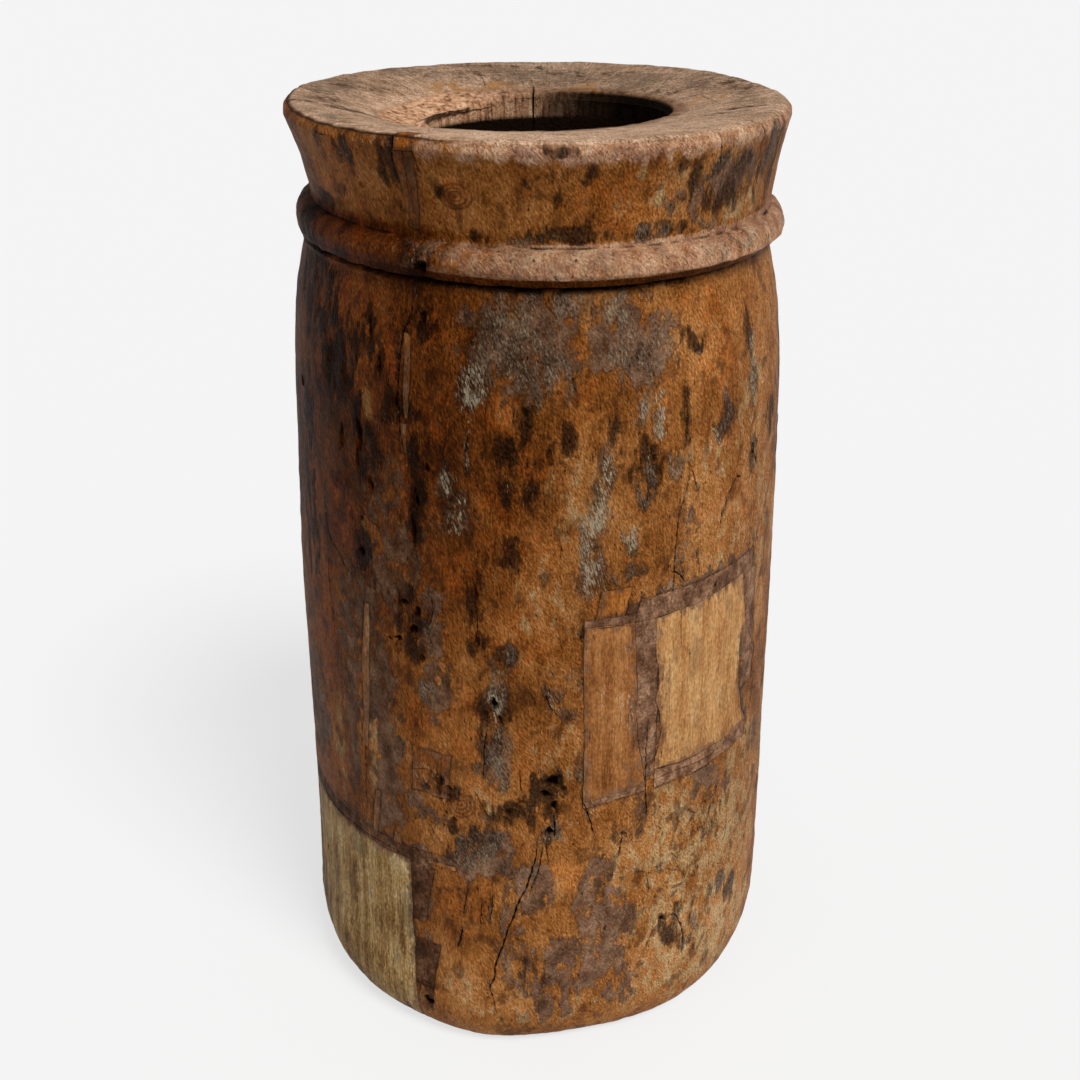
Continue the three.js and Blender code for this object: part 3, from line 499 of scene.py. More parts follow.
pale_spots = [
    (100, 110, 60, 50, 0.7), (70, 60, 50, 40, 0.5), (110, 40, 50, 30, 0.7), (75, 155, 20, 16, 0.6),
    (130, 160, 20, 30, 0.6), (-5, 36, 10, 12, 0.7), (14, 26, 16, 10, 0.6), (25, 34, 8, 8, 0.5),
    (-36, 40, 16, 16, 0.4), (-30, 168, 14, 12, 0.4), (35, 135, 10, 10, 0.4), (12, 200, 16, 18, 0.4),
    (30, 200, 12, 24, 0.4), (38, 240, 12, 30, 0.5), (-57, 228, 6, 6, 0.7), (-94, 190, 3.4, 30, 0.9),
    (-64, 190, 5, 6, 0.8), (-93, 306, 4, 9, 0.7), (-92, 376, 5, 9, 0.8), (-68, 291, 4, 6, 0.9),
    (110, 300, 30, 20, 0.4), (130, 360, 20, 40, 0.4), (145, 300, 16, 60, 0.4), (90, 345, 20, 20, 0.3),
    (20, 340, 14, 20, 0.4), (0, 290, 24, 24, 0.3), (-124, 180, 8, 40, 0.6), (0, 451, 70, 4, 0.5),
    (50, 448, 40, 6, 0.6), (110, 446, 40, 6, 0.6), (55, 478, 20, 12, 0.3), (118, 462, 16, 6, 0.6),
    (132, 465, 8, 8, 0.8), (88, 462, 30, 5, 0.3),
]

# The same areas on the rim's top: across, back, half width, half depth and strength
top_dark_spots = [
    (-92, -16, 26, 5, 0.7), (-104, 4, 8, 16, 0.5), (-103, 45, 4, 3, 1), (-105, 76, 4, 4, 1),
    (97, -22, 12, 3, 0.8), (90, -34, 12, 2.5, 0.7), (52, -14, 18, 2.5, 0.6), (-27, -37, 5, 3, 0.5),
    (104, 38, 8, 20, 0.6), (-60, -62, 10, 4, 0.4), (30, 92, 20, 5, 0.5), (-20, 104, 26, 4, 0.5),
    (64, 50, 9, 9, 0.5), (-40, 88, 12, 6, 0.4), (-86, 48, 8, 5, 0.5),
]
top_grey_spots = [
    (5, 88, 30, 13, 0.8), (55, 75, 18, 15, 0.8), (-108, 40, 18, 26, 0.7), (-70, 84, 20, 10, 0.5),
    (88, 60, 14, 18, 0.6), (104, 10, 8, 20, 0.5), (-95, -55, 5, 10, 0.8), (-85, -70, 5, 5, 0.5),
]
top_warm_spots = [(28, 68, 9, 8, 0.9), (-50, 66, 16, 8, 0.5), (-20, 74, 12, 8, 0.5), (84, 18, 14, 10, 0.4)]
top_pale_spots = [
    (0, -85, 60, 22, 0.9), (-60, -60, 20, 20, 0.6), (60, -70, 30, 20, 0.6), (-60, 30, 16, 24, 1),
    (-50, 52, 16, 10, 0.8), (-27, -37, 2.5, 1.6, 1), (-95, -55, 3, 8, 0.9),
]

# Thin pale lines of dust: width and the places that each runs through
pale_lines = [
    (2.4, [(33, 356), (29, 336), (25, 318), (27, 298)]), (1.6, [(46, 330), (45, 308)]),
    (1.4, [(-38, 338), (-40, 324)]), (1.3, [(-14, 353), (-13, 341)]),
    (1.4, [(38, 172), (30, 166), (20, 160)]), (0.9, [(-33, 401), (-34, 392), (-32, 384)]),
    (0.8, [(-36, 384), (-33, 377)]), (0.8, [(-30, 402), (-26, 393), (-29, 386)]),
    (0.9, [(-48, 353), (-44, 345), (-42, 339)]), (0.8, [(-34, 371), (-33, 352)]),
    (1.2, [(60, 386), (63, 376), (62, 366)]), (0.9, [(52, 387), (51, 377)]),
    (1.2, [(131, 402), (132, 385), (131, 366)]), (0.7, [(94, 364), (100, 354)]),
    (0.7, [(3, 240), (11, 226)]), (0.8, [(-24, 236), (-20, 230), (-22, 222)]),
    (0.7, [(46, 326), (46, 310)]), (0.8, [(-8, 176), (-4, 172)]), (0.9, [(5, 151), (9, 149)]),
    (0.7, [(24, 178), (29, 163), (33, 150)]), (0.8, [(33, 241), (32, 229)]), (0.9, [(42, 233), (44, 215)]),
    (0.8, [(48, 232), (49, 216)]), (0.7, [(55, 359), (58, 351)]), (0.8, [(72, 498), (76, 493)]),
    (1.4, [(116, 446), (128, 449), (136, 448)]), (0.8, [(96, 446), (112, 444)]),
    (0.9, [(-62, 450), (-60, 442)]), (1.0, [(-95, 497), (-88, 497)]),
    (1.1, [(-64, 186), (-56, 184), (-48, 180)]), (0.9, [(-66, 178), (-55, 175)]),
    (1.0, [(122, 464), (130, 468), (136, 462)]), (0.7, [(-81, 498), (-77, 496)]),
]

# The black line under the bead, a groove whose deepest parts are painted black as shade: where it runs and
# how deep it is, and the bead's edge above it
line_girths = [-419, -190, -140, -90, -20, 30, 90, 140, 190, 419]
line_heights = [436, 438, 438.5, 437.8, 435.6, 434.8, 434.6, 434.4, 434, 436]
line_depths = [1.4, 1.5, 2.6, 3.2, 3.4, 3.6, 3, 2, 1.4, 1.4]
tooth_rise = 6
bead_overhang = 0.9

# The relief of the skin, in layers of noise: depth, size, stretch along the height and shift
skin_rest = 0.4
skin_layers = [(0.3, 46, 1.8, 0), (0.16, 9, 5, 4.2), (0.24, 5.5, 1.6, 5.9), (0.14, 3.2, 1.5, 8.4)]
torn_rest = 0.45
torn_layers = [(0.7, 3.6, 1.6, 6.6), (0.6, 7, 1.4, 3.9)]
knot_wave = 0.3
seam_wear = 0.25
corner_wear = 0.2
corner_drop = ([0, 130, 419], [0, 2.5, 0])
mouth_wear = 1.6

# How far noise moves places across and up, in the same kind of layers: seams cut by an unsteady hand,
# the torn outlines of spots on the wall and on the rim's top, and thin pale lines
seam_stray = ([(0.6, 16, 1, 3.1), (0.4, 4, 1, 7.7)], [(0.6, 16, 1, 11.3), (0.4, 4, 1, 17.9)])
spot_stray = ([(3.4, 9, 2, 5.3), (1.8, 3.2, 2, 1.9)], [(7, 9, 2, 9.1), (3, 3.2, 2, 2.7)])
top_stray = ([(3, 9, 1, 5.3), (1.4, 3.2, 1, 0)], [(3, 9, 1, 6.3), (1.4, 3.2, 1, 1)])
line_stray = ([(0.8, 3, 1, 5.3)], [(0.8, 3, 1, 9.1)])
# The neck's narrow face leaves the spots less room to stray
neck_calm = 0.75

# How far inside the wall's outline the rim's top begins, and how far from the axis the mouth's skin ends
arris_insets = ([-60, -20, 200, 419], [2.6, 0.8, 0.8, 2.6])
arris_blend = 2.2
mouth_skin_reach = 82
mouth_blend = 8

# The step and the sway of a crack's line, the corners of a gouge, and the sectors round the nail
crack_step = 1.6
crack_sway = 0.45
pit_corners = 22
nail_sectors = 32

# The random marks: the side that the photograph doesn't show has its own cracks, and the dry wood low on
# the right is crazed
seed = 11
back_cracks = 26
crazing_cracks = 24
random = np.random.default_rng(seed)
once_round = 2 * np.pi * middle_wall_radius


def worn_back(spots, count, largest, strength=0.9):
    """Adds spots at random places round the side that the photograph doesn't show."""
    for _ in range(count):
        girth = random.choice([-1, 1]) * random.uniform(152, 415)
        wide = random.uniform(0.3, 1) * largest
        spots.append((girth, random.uniform(10, 485), wide, wide * random.uniform(0.8, 2.4), strength))


worn_back(rough_spots, 14, 12, 0.8)
worn_back(soot_spots, 42, 12)
worn_back(grey_spots, 30, 12)
worn_back(filled_spots, 22, 20)
worn_back(warm_spots, 26, 22)
worn_back(pale_spots, 16, 30, 0.6)
for _ in range(back_cracks):
    girth, height = random.choice([-1, 1]) * random.uniform(155, 410), random.uniform(20, 425)
    drift, reach = random.uniform(-5, 5, 3), random.uniform(8, 30)
    path = [(girth + drift[k], height - k * reach) for k in range(3)]
    wall_cracks.append((random.uniform(0.6, 1.2), 4, path))
    wide, tall, deep = random.uniform(1, 2.6), random.uniform(1.5, 5), random.uniform(2, 3)
    holes.append((girth + 12, height - 6, wide, tall, deep))

lattice_size = 32
lattice = random.uniform(-1, 1, (lattice_size,) * 3)

for _ in range(crazing_cracks):
    start = np.array([random.uniform(62, 120), random.uniform(92, 150)])
    bend, run = random.uniform(-3, 3, 2), random.uniform(-8, 8, 2)
    wall_cracks.append((0.6, 2.5, [tuple(start), tuple(start + run / 2 + bend), tuple(start + run)]))


def noise(points, size, tall=1.0, shift=0.0):
    """Smooth random values between -1 and 1, with features of this size and this many times taller."""
    cell = points / np.array([size, size, size * tall]) + shift
    base = np.floor(cell).astype(int)
    part = cell - base
    part = part * part * (3 - 2 * part)
    value = np.zeros(points.shape[:-1])
    for corner in np.ndindex(2, 2, 2):
        weight = np.prod(np.where(corner, part, 1 - part), axis=-1)
        at = (base + corner) % lattice_size
        value += weight * lattice[at[..., 0], at[..., 1], at[..., 2]]
    return value


def layered(points, layers):
    """Layers of noise together, each with its depth, size, stretch along the height and shift."""
    return sum(depth * noise(points, size, tall, shift) for depth, size, tall, shift in layers)


def smooth_step(value, low, high):
    share = np.clip((value - low) / (high - low), 0, 1)
    return share * share * (3 - 2 * share)


def bell(distance, spread):
    return np.exp(-0.5 * (distance / spread) ** 2)


def turn_between(a, b):
    return np.mod(a - b + 180, 360) - 180


def spline(points, steps=24):
    """Points of a smooth curve through the given ones."""
    p = np.array([points[0], *points, points[-1]], float)
    t = np.linspace(0, 1, steps, endpoint=False)[:, None]
    stretches = []
    for a, b, c, d in zip(p, p[1:], p[2:], p[3:]):
        bend = (2 * a - 5 * b + 4 * c - d) * t**2 + (3 * b - a - 3 * c + d) * t**3
        stretches.append(b + ((c - a) * t + bend) / 2)
    return np.vstack([*stretches, p[-1:]])


def quarter(start, end, starts_flat, steps=16):
    """Points of a quarter of an ellipse from start to end."""
    turn = np.linspace(0, np.pi / 2, steps + 1)
    along, across = np.sin(turn), 1 - np.cos(turn)
    share = np.stack([along, across] if starts_flat else [across, along], -1)
    return np.array(start) + (np.array(end) - np.array(start)) * share


def resampled(path, step):
    """The same outline in equal steps of about this length."""
    length = np.concatenate([[0], np.cumsum(np.hypot(*np.diff(path, axis=0).T))])
    wanted = np.linspace(0, length[-1], max(2, round(length[-1] / step) + 1))
    return np.stack([np.interp(wanted, length, path[:, k]) for k in range(2)], -1)


# The outline of the log in parts, from the foot's face round to the hollow's floor
foot_face = np.array([(hollow_step, 0), (foot_face_radius, 0)], float)
wall_places = [
    (foot_radius, foot_round),
    (low_wall_radius, low_wall_height),
    (middle_wall_radius, middle_wall_height),
    (upper_wall_radius, upper_wall_height),
    (low_shoulder_radius, corner_height - shoulder_rise),
    (shoulder_radius, corner_height - shoulder_height),
    (corner_radius, corner_height),
]
wall_path = np.vstack([quarter((foot_face_radius, 0), wall_places[0], True), spline(wall_places)[1:]])
bead_foot = [wall_places[-1], (bead_edge_radius, groove_height - bead_height)]
bead = quarter((bead_radius, bead_middle), (groove_radius, groove_height), False)
neck_places = [
    (groove_radius, groove_height + groove_floor),
    (waist_radius, groove_height + 0.45 * neck_height),
    (lip_radius, lip_height),
]
neck_path = np.vstack([bead_foot, bead, spline(neck_places)])
rim_places = [
    (rim_top_radius, pot_height),
    (0.55 * rim_top_radius + 0.45 * mouth_radius, pot_height - 0.4 * rim_dish),
    (mouth_radius + mouth_round, mouth_edge_height + 1),
]
lip = quarter(neck_places[-1], rim_places[0], False)
mouth_top = (mouth_radius, mouth_edge_height - mouth_round)
rim_path = np.vstack([lip, spline(rim_places)[1:], quarter(rim_places[-1], mouth_top, True)[1:]])
mouth_path = np.array([mouth_top, (mouth_radius, hollow_top)], float)
hollow_side = (hollow_radius, bottom_thickness + hollow_floor_round)
hollow_path = np.vstack(
    [
        quarter(mouth_path[-1], (hollow_radius, hollow_top - hollow_shoulder), True),
        [hollow_side],
        quarter(hollow_side, (hollow_radius / 3, bottom_thickness), False)[1:],
        [(hollow_step, bottom_thickness)],
    ]
)
outside_path = np.vstack([wall_path, neck_path[1:]])


def flat_depth(azimuth, height):
    """How far the hewn flats lie inside the round outline."""
    depth = np.zeros(np.broadcast(azimuth, height).shape)
    for at, spread, deep, level, reach in hewn_flats:
        depth += deep * bell(turn_between(azimuth, at), spread) * bell(height - level, reach)
    return depth


def as_carved(radius, azimuth, height, of_mouth, is_outside):
    """Moves places of the turned shape to where the carver left them."""
    turn = np.radians(azimuth)
    oval = of_mouth * mouth_oval * np.cos(2 * np.radians(azimuth - mouth_turn))
    flat = is_outside * flat_depth(azimuth, height) * np.minimum(1, radius / foot_face_radius)
    r = radius + oval - flat
    outer = is_outside * (1 - of_mouth)
    sway = outer * np.interp(height, sway_heights, sways)
    lean = outer * np.interp(height, lean_heights, leans) * (1 + np.sin(turn)) / 2
    on_rim = is_outside * (height > groove_height) * (radius < rim_top_radius)
    scoop = on_rim * scoop_depth * bell(turn_between(azimuth, scoop_azimuth), scoop_spread) * of_mouth
    x = r * np.sin(turn) + of_mouth * mouth_offset[0] + sway
    y = -r * np.cos(turn) + of_mouth * mouth_offset[1]
    return np.stack([x, y, height - lean - scoop], -1)


def on_wall(girth, height, inward=0.0):
    """The place in space at this girth and height, this far inside the carved outside."""
    azimuth = np.degrees(girth / middle_wall_radius)
    drop = (1 + np.sin(np.radians(azimuth))) / 2
    level = height
    for _ in range(6):
        level = height + np.interp(level, lean_heights, leans) * drop
    radius = np.interp(level, outside_path[:, 1], outside_path[:, 0]) - inward
    turn = np.radians(azimuth)
    r = radius - flat_depth(azimuth, level)
    sway = np.interp(level, sway_heights, sways)
    return np.stack([r * np.sin(turn) + sway, -r * np.cos(turn), height + 0 * r], -1)


def rim_height(places):
    """How high the carved top of the rim is at these places, seen from above."""
    reach = np.hypot(*places.T)
    azimuth = np.degrees(np.arctan2(places[:, 0], -places[:, 1]))
    towards = np.cos(np.radians(azimuth)) * -mouth_offset[1] + np.sin(np.radians(azimuth)) * mouth_offset[0]
    radius = reach
    for _ in range(8):
        of_mouth = smooth_step(rim_top_radius - radius, 0, rim_top_radius - mouth_radius)
        oval = mouth_oval * np.cos(2 * np.radians(azimuth - mouth_turn))
        radius = reach - of_mouth * (oval + towards)
    level = np.interp(-radius, -rim_path[:, 0], rim_path[:, 1])
    placed = as_carved(radius, azimuth, level, of_mouth, 1.0)
    return placed[:, 2]


def unrolled(points):
    """Girth and height of places in space, and how far each lies inside the carved outside."""
    girth = np.arctan2(points[..., 0], -points[..., 1]) * middle_wall_radius
    height = points[..., 2]
    skin = on_wall(girth, height)
    inside = np.hypot(skin[..., 0], skin[..., 1]) - np.hypot(points[..., 0], points[..., 1])
    return girth, height, inside


def on_cylinder(girth, height):
    """A place on a plain cylinder, where the noise for the wall is read."""
    turn = girth / middle_wall_radius
    across, back = middle_wall_radius * np.sin(turn), -middle_wall_radius * np.cos(turn)
    return np.stack([across, back, height + 0 * turn], -1)


def strayed(girth, height, stray, share=1.0):
    """Moves places on the wall round and up by noise."""
    at = on_cylinder(girth, height)
    return girth + share * layered(at, stray[0]), height + share * layered(at, stray[1])


def hand_cut(girth, height):
    """Moves places on the wall as an unsteady hand does, so that no seam is straight."""
    return strayed(girth, height, seam_stray)


def hand_cut_back(girth, height):
    """The place that the unsteady hand moved to here, nearly."""
    moved = hand_cut(girth, height)
    return 2 * girth - moved[0], 2 * height - moved[1]


def ragged(girth, height):
    """Moves places on the wall so that an oval spot gets a torn outline."""
    calm = 1 - neck_calm * smooth_step(height, corner_height - 12, corner_height)
    return strayed(girth, height, spot_stray, calm)


def from_axis_of(points):
    return np.hypot(points[..., 0], points[..., 1])


def above_line(girth, height):
    """How far each place on the wall is above the black line under the bead."""
    return height - np.interp(girth, line_girths, line_heights)


def on_rubbed_and_lit_side(girth, start, end):
    """1 on the front and the right, where hands have rubbed the pot and the key light falls, fading towards
    the left and the back.
    """
    return smooth_step(girth, start, end) * smooth_step(-girth, -340, -200)


def spotted(girth, height, spots):
    """The strength of the strongest oval spot at each place."""
    value = np.zeros_like(girth)
    for at_girth, at_height, wide, tall, strength in spots:
        across = np.mod(girth - at_girth + once_round / 2, once_round) - once_round / 2
        near = (np.abs(across) < 1.6 * wide) & (np.abs(height - at_height) < 1.6 * tall)
        distance = np.hypot(across[near] / wide, (height[near] - at_height) / tall)
        value[near] = np.maximum(value[near], strength * smooth_step(-distance, -1.5, -0.5))
    return value


def distance_to_path(girth, height, path, reach):
    """How far each place on the wall is from a line through these places, up to this reach."""
    path = np.array(path, float)
    nearest = np.full_like(girth, reach)
    low, high = path.min(0) - reach, path.max(0) + reach
    near = (girth > low[0]) & (girth < high[0]) & (height > low[1]) & (height < high[1])
    if not near.any():
        return nearest
    at = np.stack([girth[near], height[near]], -1)
    best = np.full(len(at), float(reach))
    for a, b in zip(path, path[1:]):
        run = b - a
        share = np.clip((at - a) @ run / (run @ run), 0, 1)
        best = np.minimum(best, np.hypot(*(at - a - share[:, None] * run).T))
    nearest[near] = best
    return nearest


def lined(girth, height, lines, softness):
    """The strength of the nearest of these lines at each place."""
    value = np.zeros_like(girth)
    for width, path in lines:
        distance = distance_to_path(girth, height, path, 5 * width)
        value = np.maximum(value, bell(distance, width * softness / 2))
    return value


def seam_distance(girth, height, names, reach=6):
    """How far each place on the wall is from the nearest outline of these let-in pieces."""
    nearest = np.full_like(girth, reach)
    for name in names:
        left, right, _ = inlays[name]
        outline = [*left, *reversed(right), left[0]]
        nearest = np.minimum(nearest, distance_to_path(girth, height, outline, reach))
    return nearest


def wall_relief(points, girth, height):
    """What only the wall and the neck have: torn places, knots, the line under the bead and worn seams."""
    torn = spotted(*ragged(girth, height), rough_spots)
    depth = torn * (torn_rest + layered(points, torn_layers))
    for at_girth, at_height, wide, tall in knots:
        ring = np.hypot((girth - at_girth) / wide, (height - at_height) / tall)
        depth += knot_wave * np.sin(ring * 9 + 2 * noise(points, 6)) * bell(ring, 0.7)
    line = above_line(girth, height) - 0.5 * noise(points, 7, shift=7.2)
    depth += smooth_step(-np.abs(line), -1.7, -0.7) * np.interp(girth, line_girths, line_depths)
    below_bead = smooth_step(-line, -tooth_rise - 0.5, -tooth_rise + 0.3) * smooth_step(line, -1, 0.4)
    depth += bead_overhang * below_bead * on_rubbed_and_lit_side(girth, -95, -40)
    corner = bell(height - (groove_height - 4) + np.interp(girth, *corner_drop), 3)
    depth += corner_wear * corner * (from_axis_of(points) > groove_radius)
    seams = seam_distance(*hand_cut_back(girth, height), list(inlays))
    return depth + seam_wear * bell(seams, 0.9)


def relief(points, part):
    """How far the skin lies inside the carved shape: dents of the blade, grain, holes and worn seams."""
    if part == "foot":
        return 0.3 * np.abs(noise(points, 9))
    girth, height, _ = unrolled(points)
    depth = skin_rest + layered(points, skin_layers)
    if part == "outside":
        depth += wall_relief(points, girth, height)
    if part == "rim":
        on_face = smooth_step(height, lip_height - 1, pot_height - 1)
        depth += 0.3 * on_face * noise(points[..., [1, 2, 0]], 4, 6, shift=2.2)
    if part in ("rim", "mouth"):
        inner = smooth_step(-height, -mouth_edge_height, 9 - mouth_edge_height)
        depth += inner * (0.5 + 0.45 * noise(points, 4.5, 14, shift=1.4))
        near_mouth = smooth_step(-from_axis_of(points), -92, -72)
        depth += near_mouth * mouth_wear * bell(height - (mouth_edge_height - 2.5), 4)
    if part == "hollow":
        depth += 0.6 + 0.8 * noise(points, 14, 3)
    return np.maximum(depth, 0)


def mesh_object(name, vertices, faces):
    """An object from places in millimetres."""
    mesh = bpy.data.meshes.new(name)
    mesh.from_pydata(np.asarray(vertices) / 1000, [], faces)
    mesh.update()
    return added(name, mesh)


def grid_faces(rows, columns, closed, start=0):
    """Faces between the rows and columns of a grid of vertices."""
    row = np.arange(rows - 1)[:, None] * columns
    column = np.arange(columns if closed else columns - 1)[None, :]
    following = (column + 1) % columns
    corners = [row + column, row + following, row + columns + following, row + columns + column]
    return (np.stack(np.broadcast_arrays(*corners), -1).reshape(-1, 4) + start).tolist()


def tube_faces(rows, columns):
    """Faces of a tube of rings, and of the fans that close it round the last two vertices."""
    faces = grid_faces(rows, columns, True)
    first_end, last_ring = rows * columns, (rows - 1) * columns
    for j in range(columns):
        k = (j + 1) % columns
        faces.append([first_end, k, j])
        faces.append([first_end + 1, last_ring + j, last_ring + k])
    return faces


def carved_log():
    """The whole log with its worn skin, before anything is let in."""
    front = np.arange(-front_reach, front_reach, front_step)
    back = np.arange(front_reach, 360 - front_reach, back_step)
    azimuth = np.concatenate([front, back])
    parts = [
        ("foot", resampled(foot_face, hollow_step)[:-1]),
        ("outside", resampled(wall_path, wall_step)[:-1]),
        ("outside", resampled(neck_path, neck_step)[:-1]),
        ("rim", resampled(rim_path, rim_step)[:-1]),
        ("mouth", resampled(mouth_path, mouth_step)[:-1]),
        ("hollow", resampled(hollow_path, hollow_step)),
    ]
    shape = []
    depth = []
    for part, path in parts:
        radius, height = path[:, :1], path[:, 1:]
        if part == "rim":
            of_mouth = smooth_step(rim_top_radius - radius, 0, rim_top_radius - mouth_radius)
        elif part in ("mouth", "hollow"):
            of_mouth = smooth_step(height, hollow_top - hollow_shoulder, hollow_top)
        else:
            of_mouth = np.zeros_like(radius)
        is_outside = float(part in ("outside", "rim"))
        shape.append(as_carved(radius, azimuth[None, :], height, of_mouth, is_outside))
        depth.append(relief(shape[-1], part))
    shape = np.concatenate(shape)
    depth = np.concatenate(depth)
    round_the_log = np.roll(shape, -1, 1) - np.roll(shape, 1, 1)
    normal = np.cross(round_the_log, np.gradient(shape, axis=0))
    normal /= np.linalg.norm(normal, axis=-1, keepdims=True)
    shape = shape - normal * depth[..., None]
    low, high = np.array(cad_box[0]) * 1000, np.array(cad_box[1]) * 1000
    shape = np.clip(shape, low, high)
    foot_rows = len(parts[0][1])
    shape[:foot_rows, :, 2] = np.maximum(shape[:foot_rows, :, 2], 0)
    rows, columns = shape.shape[:2]
    vertices = np.vstack([shape.reshape(-1, 3), [(0, 0, 0)], [(0, 0, bottom_thickness)]])
    return mesh_object("carved_log", vertices, tube_faces(rows, columns))


def block(name, grow):
    """A piece's space in the wall: wavy sides towards the axis and a back that follows the wall's round."""
    left, right, deep = inlays[name]
    left, right = np.array(left, float), np.array(right, float)
    wide = np.mean(right[:, 0]) - np.mean(left[:, 0])
    tall = (left[-1, 1] - left[0, 1] + right[-1, 1] - right[0, 1]) / 2
    columns = int(np.ceil(wide / block_step)) + 2
    rows = int(np.ceil(tall / block_step)) + 2
    across = np.linspace(-grow / wide, 1 + grow / wide, columns)[None, :]
    up = np.linspace(-grow / tall, 1 + grow / tall, rows)[:, None]
    sides = []
    for side in (left, right):
        share = (side[:, 1] - side[0, 1]) / (side[-1, 1] - side[0, 1])
        sides.append((np.interp(up, share, side[:, 0]), side[0, 1] + up * (side[-1, 1] - side[0, 1])))
    girth = sides[0][0] * (1 - across) + sides[1][0] * across
    height = sides[0][1] * (1 - across) + sides[1][1] * across
    girth, height = hand_cut(girth, height)
    middle = max((left[0, 1] + right[-1, 1]) / 2, foot_round)
    inner = np.interp(middle, outside_path[:, 1], outside_path[:, 0]) - deep - grow
    outer = foot_radius + board_depth
    turn = girth / middle_wall_radius
    flats = [np.stack([r * np.sin(turn), -r * np.cos(turn), height], -1) for r in (inner, outer)]
    vertices = np.vstack([flat.reshape(-1, 3) for flat in flats])
    count = rows * columns
    faces = [face[::-1] for face in grid_faces(rows, columns, False)]
    faces += grid_faces(rows, columns, False, count)
    edge = [*range(columns)]
    edge += [row * columns + columns - 1 for row in range(1, rows)]
    edge += [(rows - 1) * columns + column for column in range(columns - 2, -1, -1)]
    edge += [row * columns for row in range(rows - 2, 0, -1)]
    faces += [(a, b, b + count, a + count) for a, b in zip(edge, edge[1:] + edge[:1])]
    return mesh_object(name + "_space", vertices, faces)


def blade(name, middles, outward, sideways, width, depth):
    """A tapered wedge that opens one crack: three edges run along its path."""
    count = len(middles)
    run = np.linspace(0, 1, count)
    taper = np.minimum(1, 6 * np.minimum(run, 1 - run) + 0.12)
    taper = taper * (1 + 0.35 * np.sin(run * count * 1.7 + width * 40))
    half = (width * taper / 2 * (1 + crack_stand_out / depth))[:, None]
    above = middles + outward * crack_stand_out
    bottom = middles - outward * depth * (0.35 + 0.65 * taper[:, None] / 1.35)
    vertices = np.vstack([above - sideways * half, above + sideways * half, bottom])
    faces = [(0, count, 2 * count), (count - 1, 3 * count - 1, 2 * count - 1)]
    for i in range(count - 1):
        faces.append((i, i + 1, count + i + 1, count + i))
        faces.append((count + i, count + i + 1, 2 * count + i + 1, 2 * count + i))
        faces.append((2 * count + i, 2 * count + i + 1, i + 1, i))
    return mesh_object(name, vertices, faces)


def unsteady(path):
    """Places along a line in short steps, each set a little aside as wood splits."""
    path = resampled(np.array(path, float), crack_step)
    along = np.gradient(path, axis=0)
    along /= np.linalg.norm(along, axis=1, keepdims=True)
    aside = np.stack([-along[:, 1], along[:, 0]], -1)
    at = np.column_stack([path, np.zeros(len(path))])
    shift = crack_sway * (noise(at, 2.4, shift=4.4) + 2 * noise(at, 8, shift=1.3))
    return path + aside * shift[:, None], aside


def directions(girth):
    """Outwards and round the wall at this girth."""
    turn = np.asarray(girth) / middle_wall_radius
    outward = np.stack([np.sin(turn), -np.cos(turn), 0 * turn], -1)
    return outward, np.stack([np.cos(turn), np.sin(turn), 0 * turn], -1)


def pit(name, girth, height, wide, tall, deep):
    """A ragged gouge with steep sides."""
    turn = np.linspace(0, 2 * np.pi, pit_corners, endpoint=False)
    around = np.stack([np.cos(turn), np.sin(turn), np.full(pit_corners, girth)], -1)
    wobble = 1 + 0.5 * noise(around, 0.7, shift=2.1)
    rings = []
    steps = ((1.3, -crack_stand_out), (1, 0.5), (0.8, 0.5 + 0.4 * deep), (0.4, 0.3 + 0.85 * deep))
    for share, inward in steps:
        across, up = wide * share * wobble * np.cos(turn), tall * share * wobble * np.sin(turn)
        rings.append(on_wall(girth + across, height + up, inward))
    middle = [on_wall(np.array([girth]), np.array([height]), at) for at in (-crack_stand_out, 0.3 + deep)]
    faces = [face[::-1] for face in tube_faces(len(rings), pit_corners)]
    return mesh_object(name, np.vstack([*rings, *middle]), faces)


def crack_blades():
    """Everything that is cut out of the skin: the cracks of the wall, those of the rim, and the holes."""
    blades = []
    for i, (width, depth, path) in enumerate(wall_cracks):
        path, aside = unsteady(path)
        outward, round_wall = directions(path[:, 0])
        sideways = round_wall * aside[:, :1] + np.array([0, 0, 1]) * aside[:, 1:]
        middle = on_wall(path[:, 0], path[:, 1])
        blades.append(blade(f"wall_crack_{i}", middle, outward, sideways, width, depth))
    for i, (width, depth, path) in enumerate(rim_cracks):
        path, aside = unsteady(path)
        middle = np.column_stack([path, rim_height(path)])
        sideways = np.column_stack([aside, np.zeros(len(aside))])
        blades.append(blade(f"rim_crack_{i}", middle, np.array([0, 0, 1.0]), sideways, width, depth))
    for i, place in enumerate(holes):
        blades.append(pit(f"hole_{i}", *place))
    return blades


def turned_into_wall(name, points, girth, height, unround):
    """A turned shape that lies along a radius of the log: points are its radius and how far it stands out."""
    surface = on_wall(np.array(girth), np.array(height))
    outward, round_wall = directions(girth)
    upward = np.array([0, 0, 1.0])
    angle = np.linspace(0, 2 * np.pi, nail_sectors, endpoint=False)[None, :, None]
    radius, out = np.array(points)[1:-1].T[..., None, None]
    radius = radius * (1 + unround * np.sin(3 * angle + 1) + unround * np.sin(5 * angle))
    ring = surface + outward * out + round_wall * radius * np.cos(angle) + upward * radius * np.sin(angle)
    ends = [surface + outward * points[0][1], surface + outward * points[-1][1]]
    vertices = np.vstack([ring.reshape(-1, 3), *ends])
    return mesh_object(name, vertices, tube_faces(len(points) - 2, nail_sectors))


